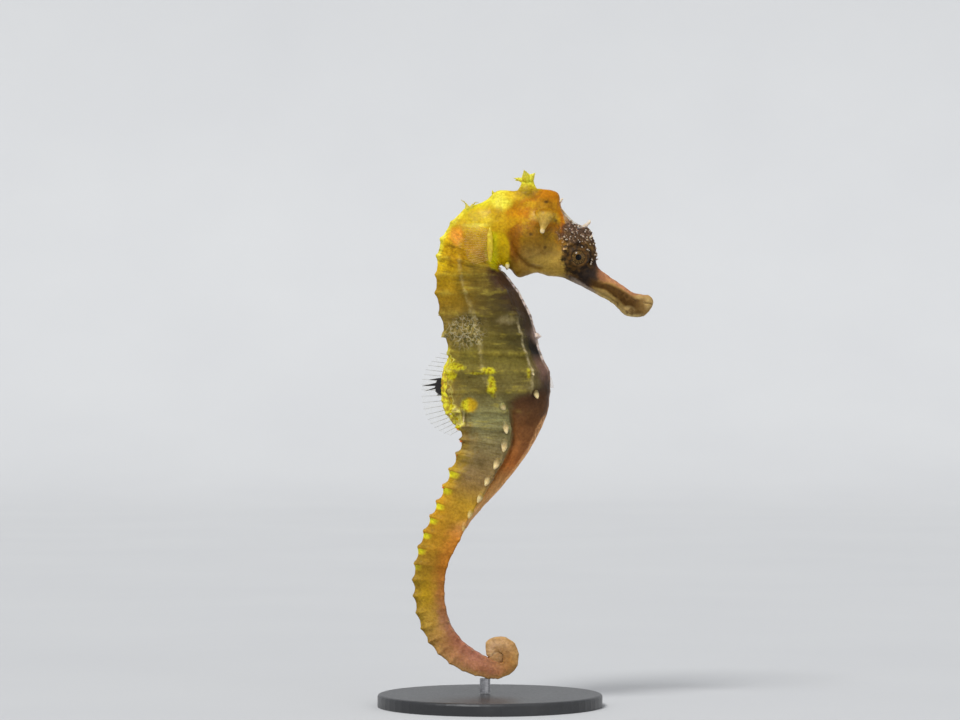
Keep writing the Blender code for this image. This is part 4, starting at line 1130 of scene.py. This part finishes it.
base_mesh, membrane_mesh, ray_mesh, stub_mesh = (bmesh.new() for _ in range(4))
base_outline = (*DORSAL_BASE, *((height, -half) for height, half in DORSAL_BASE[-2::-1]))
base_loops = []
for ring in np.linspace(DORSAL_START - 0.12, DORSAL_END + 0.1, 70):
    foot, outward = back_frame(ring)
    full = fullness(min(1.0, max(0.0, (ring - DORSAL_START) / (DORSAL_END - DORSAL_START))))
    loop = bmesh.ops.create_circle(base_mesh, segments=len(base_outline), radius=1.0)["verts"]
    for vert, (height, half) in zip(loop, base_outline):
        spot = foot + outward * (height * full) + Vector((0, half * (0.35 + 0.65 * full), 0))
        lump = noise.fractal(spot * 0.9, 0.8, 2.0, 3) * 0.42
        sideways = Vector((0, 1 if half > 0 else -1, 0))
        vert.co = spot + (outward * 0.7 + sideways * 0.5) * lump * (height > 0)
    base_loops.append(loop)
close_tube(base_mesh, base_loops)
base_flesh = fin_flesh_finish("fin base", (176, 148, 12), (228, 220, 34), 0.6)
fin_base = smooth_object("dorsal_fin_base", base_mesh, base_flesh)

web_rows = []
for number in range(DORSAL_GAPS * ROWS_TO_A_GAP + 1):
    share = number / (DORSAL_GAPS * ROWS_TO_A_GAP)
    foot, outward = back_frame(DORSAL_START + share * (DORSAL_END - DORSAL_START))
    full = fullness(share)
    wave = 2 * pi * share * DORSAL_GAPS
    low, high = DORSAL_FOOT * full, DORSAL_HEIGHT * full * (0.955 + 0.045 * (cos(wave) + 1) / 2)
    # The rays lean back towards the tail, more and more so along the fin.
    lean = Vector((0, 0, -1)) * (1.15 * max(0.0, share - 0.42) - 0.14 * (1 - share))
    row = []
    for height in np.linspace(low, high, 9).tolist():
        ripple = (0.13 * sin(wave) + 0.20 * sin(7 * share)) * height / 6.8
        row.append(foot + outward * height + lean * (height - low) + Vector((0, ripple, 0)))
    web_rows.append(row)
add_sheet(membrane_mesh, web_rows)
for row in web_rows[::ROWS_TO_A_GAP]:
    add_ray(ray_mesh, row[::2], 0.055, 0.02)
    stub = (row[0], row[0].lerp(row[1], 0.8), row[0].lerp(row[2], 0.9))
    add_ray(stub_mesh, [point + Vector((0, 0, 0.02)) for point in stub], 0.13, 0.05)
web_clear = membrane_finish("dorsal membrane", (190, 188, 170), 0.01, True)
ray_bone = ray_finish("dorsal rays", (104, 98, 84), (150, 144, 126), True)
stub_bone = ray_finish("dorsal ray feet", (206, 196, 96), (236, 230, 150), True)
web = smooth_object("dorsal_fin_membrane", membrane_mesh, web_clear)
rays = smooth_object("dorsal_fin_rays", ray_mesh, ray_bone)
stubs = smooth_object("dorsal_fin_stubs", stub_mesh, stub_bone)
for piece in (fin_base, web, rays, stubs):
    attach(piece, "root")
    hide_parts("dorsal_fin")

# ---------------------------------------------------------------------------------------------
# The pectoral fins, one behind each gill opening: small amber fans on short rays that beat too
# fast to see when the animal steers, each from a fleshy upright root.

PECTORAL_ROOT = (-0.4, 5.8, 114.2)
PECTORAL_ROOT_LENGTH = 7.2
PECTORAL_LENGTH = 6.2
PECTORAL_SPREAD = radians(34)
PECTORAL_FLARE = radians(17)
PECTORAL_GAPS = 16

pectoral_web = membrane_finish("pectoral membrane", (206, 160, 84), 0.05)
pectoral_bone = ray_finish("pectoral rays", (170, 128, 56), (198, 158, 84))
pectoral_flesh = fin_flesh_finish("pectoral root", (196, 166, 14), (214, 194, 26), 0.2)
for side, node in ((1, "pectoral_fin_left"), (-1, "pectoral_fin_right")):
    fan_mesh, spoke_mesh, root_mesh = (bmesh.new() for _ in range(3))
    root_x, root_y, root_top = PECTORAL_ROOT
    fan_rows = []
    for number in range(PECTORAL_GAPS * ROWS_TO_A_GAP + 1):
        share = number / (PECTORAL_GAPS * ROWS_TO_A_GAP)
        root = Vector((root_x, side * root_y, root_top - share * PECTORAL_ROOT_LENGTH))
        swing = PECTORAL_SPREAD * (0.5 - share)
        away = Vector((-cos(swing) * cos(PECTORAL_FLARE), side * sin(PECTORAL_FLARE), sin(swing)))
        wave = 2 * pi * share * PECTORAL_GAPS
        length = PECTORAL_LENGTH * (0.62 + 0.38 * sin(pi * share) ** 0.7) * (0.95 + 0.05 * (cos(wave) + 1) / 2)
        fan_rows.append([root + away * (length * out) + Vector((0, side * 0.12 * sin(wave) * out, 0))
                         for out in np.linspace(0.0, 1.0, 8).tolist()])
    add_sheet(fan_mesh, fan_rows)
    for row in fan_rows[::ROWS_TO_A_GAP]:
        add_ray(spoke_mesh, [*row[::2], row[-1]], 0.045, 0.02)
    bmesh.ops.create_uvsphere(root_mesh, u_segments=24, v_segments=32, radius=1.0)
    bmesh.ops.scale(root_mesh, vec=(0.80, 0.65, PECTORAL_ROOT_LENGTH / 2 + 0.5), verts=root_mesh.verts)
    for vert in root_mesh.verts:
        vert.co.xy *= 1 + 0.25 * noise.noise(vert.co * 1.6 + Vector((3, 1, side)))
    middle = Vector((root_x + 0.35, side * (root_y - 0.25), root_top - PECTORAL_ROOT_LENGTH / 2))
    bmesh.ops.translate(root_mesh, vec=middle, verts=root_mesh.verts)
    for name, mesh, finish in (("membrane", fan_mesh, pectoral_web), ("rays", spoke_mesh, pectoral_bone),
                               ("root", root_mesh, pectoral_flesh)):
        piece = smooth_object(f"{node}_{name}", mesh, finish)
        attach(piece, "root")
        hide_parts(node)

# ---------------------------------------------------------------------------------------------
# The anal fin: a clear blade about a millimetre long on the keel, just above the pouch's opening.
# It is a single stiff sheet, a little taller at its rear end.

ANAL_START, ANAL_END = 10.3, 10.9
ANAL_THICKNESS = 0.1

anal_mesh = bmesh.new()
anal_rows = []
for share in np.linspace(0, 1, 9):
    back, belly, _ = station(ANAL_START + (ANAL_END - ANAL_START) * share)
    away = (belly - back) / np.linalg.norm(belly - back)
    anal_rows.append([np.insert(belly + away * height, 1, 0) for height in np.linspace(-0.3, 0.50 + 0.45 * share, 5)])
add_sheet(anal_mesh, anal_rows, ANAL_THICKNESS)
anal_fin = smooth_object("anal_fin_blade", anal_mesh, membrane_finish("anal membrane", (186, 164, 140), 0.12))
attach(anal_fin, "root")
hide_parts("anal_fin")

# ---------------------------------------------------------------------------------------------
# The stand: a turned steel disc in satin black paint, and a brushed steel rod screwed into it
# that carries the tail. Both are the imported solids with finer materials.


def paint_finish():
    coat = Finish("stand paint", Specular_IOR_Level=0.5, Coat_Weight=0.2, Coat_Roughness=0.3)
    orange_peel = coat.noise(1.4, 2)
    dust = coat.step(coat.noise(0.12, 3), 0.5, 0.75)
    coat.feed("Base Color", coat.mix(dust * 0.35, (32, 33, 35), (58, 58, 60)))
    coat.feed("Roughness", 0.34 + 0.18 * orange_peel)
    coat.bump(orange_peel, 0.00004)
    return coat.material


def steel_finish():
    steel = Finish("stand steel", Metallic=1.0)
    drawn_out = steel.add("ShaderNodeVectorMath", {"operation": "MULTIPLY"}, input0=steel.place, input1=(1, 1, 14))
    brush = steel.noise(1.2, 2, place=drawn_out.outputs[0])
    steel.feed("Base Color", steel.mix(steel.step(brush, 0.35, 0.65), (150, 150, 152), (196, 196, 198)))
    steel.feed("Roughness", 0.24 + 0.2 * brush)
    steel.bump(brush, 0.00001)
    return steel.material


for node, finish in (("stand_base", paint_finish()), ("stand_rod", steel_finish())):
    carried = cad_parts[node]
    carried.data.materials.clear()
    carried.data.materials.append(finish)

# ---------------------------------------------------------------------------------------------
# The room: a pale matt floor that the disc stands on, curved up into a pale wall far behind it,
# three soft lamps, and the camera level with the middle of the animal.

ROOM_HALF_WIDTH = 4000
FLOOR_FRONT = -2500
CURVE_START = 1200
CURVE_RADIUS = 600
WALL_HEIGHT = 3000
AIM = Vector((-2.4, 0, 83.1)) * MM
DISTANCE = 0.9
SENSOR_WIDTH = 36.0
VIEW_WIDTH = 0.2304     # metres seen from side to side where the animal stands


def parts_of(extruded, kind):
    return [part for part in extruded if isinstance(part, kind)]


floor_mesh = bmesh.new()
front = [floor_mesh.verts.new((x, FLOOR_FRONT, 0)) for x in (-ROOM_HALF_WIDTH, ROOM_HALF_WIDTH)]
run = bmesh.ops.extrude_edge_only(floor_mesh, edges=[floor_mesh.edges.new(front)])["geom"]
bmesh.ops.translate(floor_mesh, vec=(0, CURVE_START - FLOOR_FRONT, 0), verts=parts_of(run, bmesh.types.BMVert))
rear = [edge for edge in parts_of(run, bmesh.types.BMEdge) if all(vert.co.y > 0 for vert in edge.verts)]
turned = bmesh.ops.spin(floor_mesh, geom=rear, cent=(0, CURVE_START, CURVE_RADIUS), axis=(1, 0, 0), angle=pi / 2,
                        steps=16)["geom_last"]
run = bmesh.ops.extrude_edge_only(floor_mesh, edges=parts_of(turned, bmesh.types.BMEdge))["geom"]
bmesh.ops.translate(floor_mesh, vec=(0, 0, WALL_HEIGHT), verts=parts_of(run, bmesh.types.BMVert))
bmesh.ops.remove_doubles(floor_mesh, verts=floor_mesh.verts, dist=0.01)
floor_finish = Finish("floor", Roughness=0.9, Specular_IOR_Level=0.1)
floor_colour = floor_finish.mix(floor_finish.noise(0.01, 3), (186, 187, 188), (192, 193, 193))
floor_finish.feed("Base Color", floor_colour)
floor = smooth_object("floor", floor_mesh, floor_finish.material)

scene = bpy.context.scene
world = bpy.data.worlds.new("room")
world.use_nodes = True
world.node_tree.nodes["Background"].inputs["Color"].default_value = (0.92, 0.94, 1.0, 1)
world.node_tree.nodes["Background"].inputs["Strength"].default_value = 0.55
scene.world = world
scene.view_settings.view_transform = "Standard"

# Name, place from the animal in metres, softness in degrees, and strength
for name, place, softness, strength in (("key", (-0.35, -0.55, 0.85), 20, 2.5), ("fill", (0.7, -0.8, 0.25), 60, 0.7),
                                        ("rim", (-0.4, 0.6, 0.7), 30, 1.0)):
    lamp_data = bpy.data.lights.new(name, "SUN")
    lamp_data.angle = radians(softness)
    lamp_data.energy = strength
    lamp = bpy.data.objects.new(name, lamp_data)
    lamp.location = AIM + Vector(place)
    lamp.rotation_euler = (-Vector(place)).to_track_quat("-Z", "Y").to_euler()
    scene.collection.objects.link(lamp)

camera_data = bpy.data.cameras.new("camera")
camera_data.sensor_width = SENSOR_WIDTH
camera_data.lens = SENSOR_WIDTH * DISTANCE / VIEW_WIDTH
camera = bpy.data.objects.new("camera", camera_data)
camera.location = AIM + Vector((0, -DISTANCE, 0))
camera.rotation_euler = (pi / 2, 0, 0)
scene.collection.objects.link(camera)
scene.camera = camera
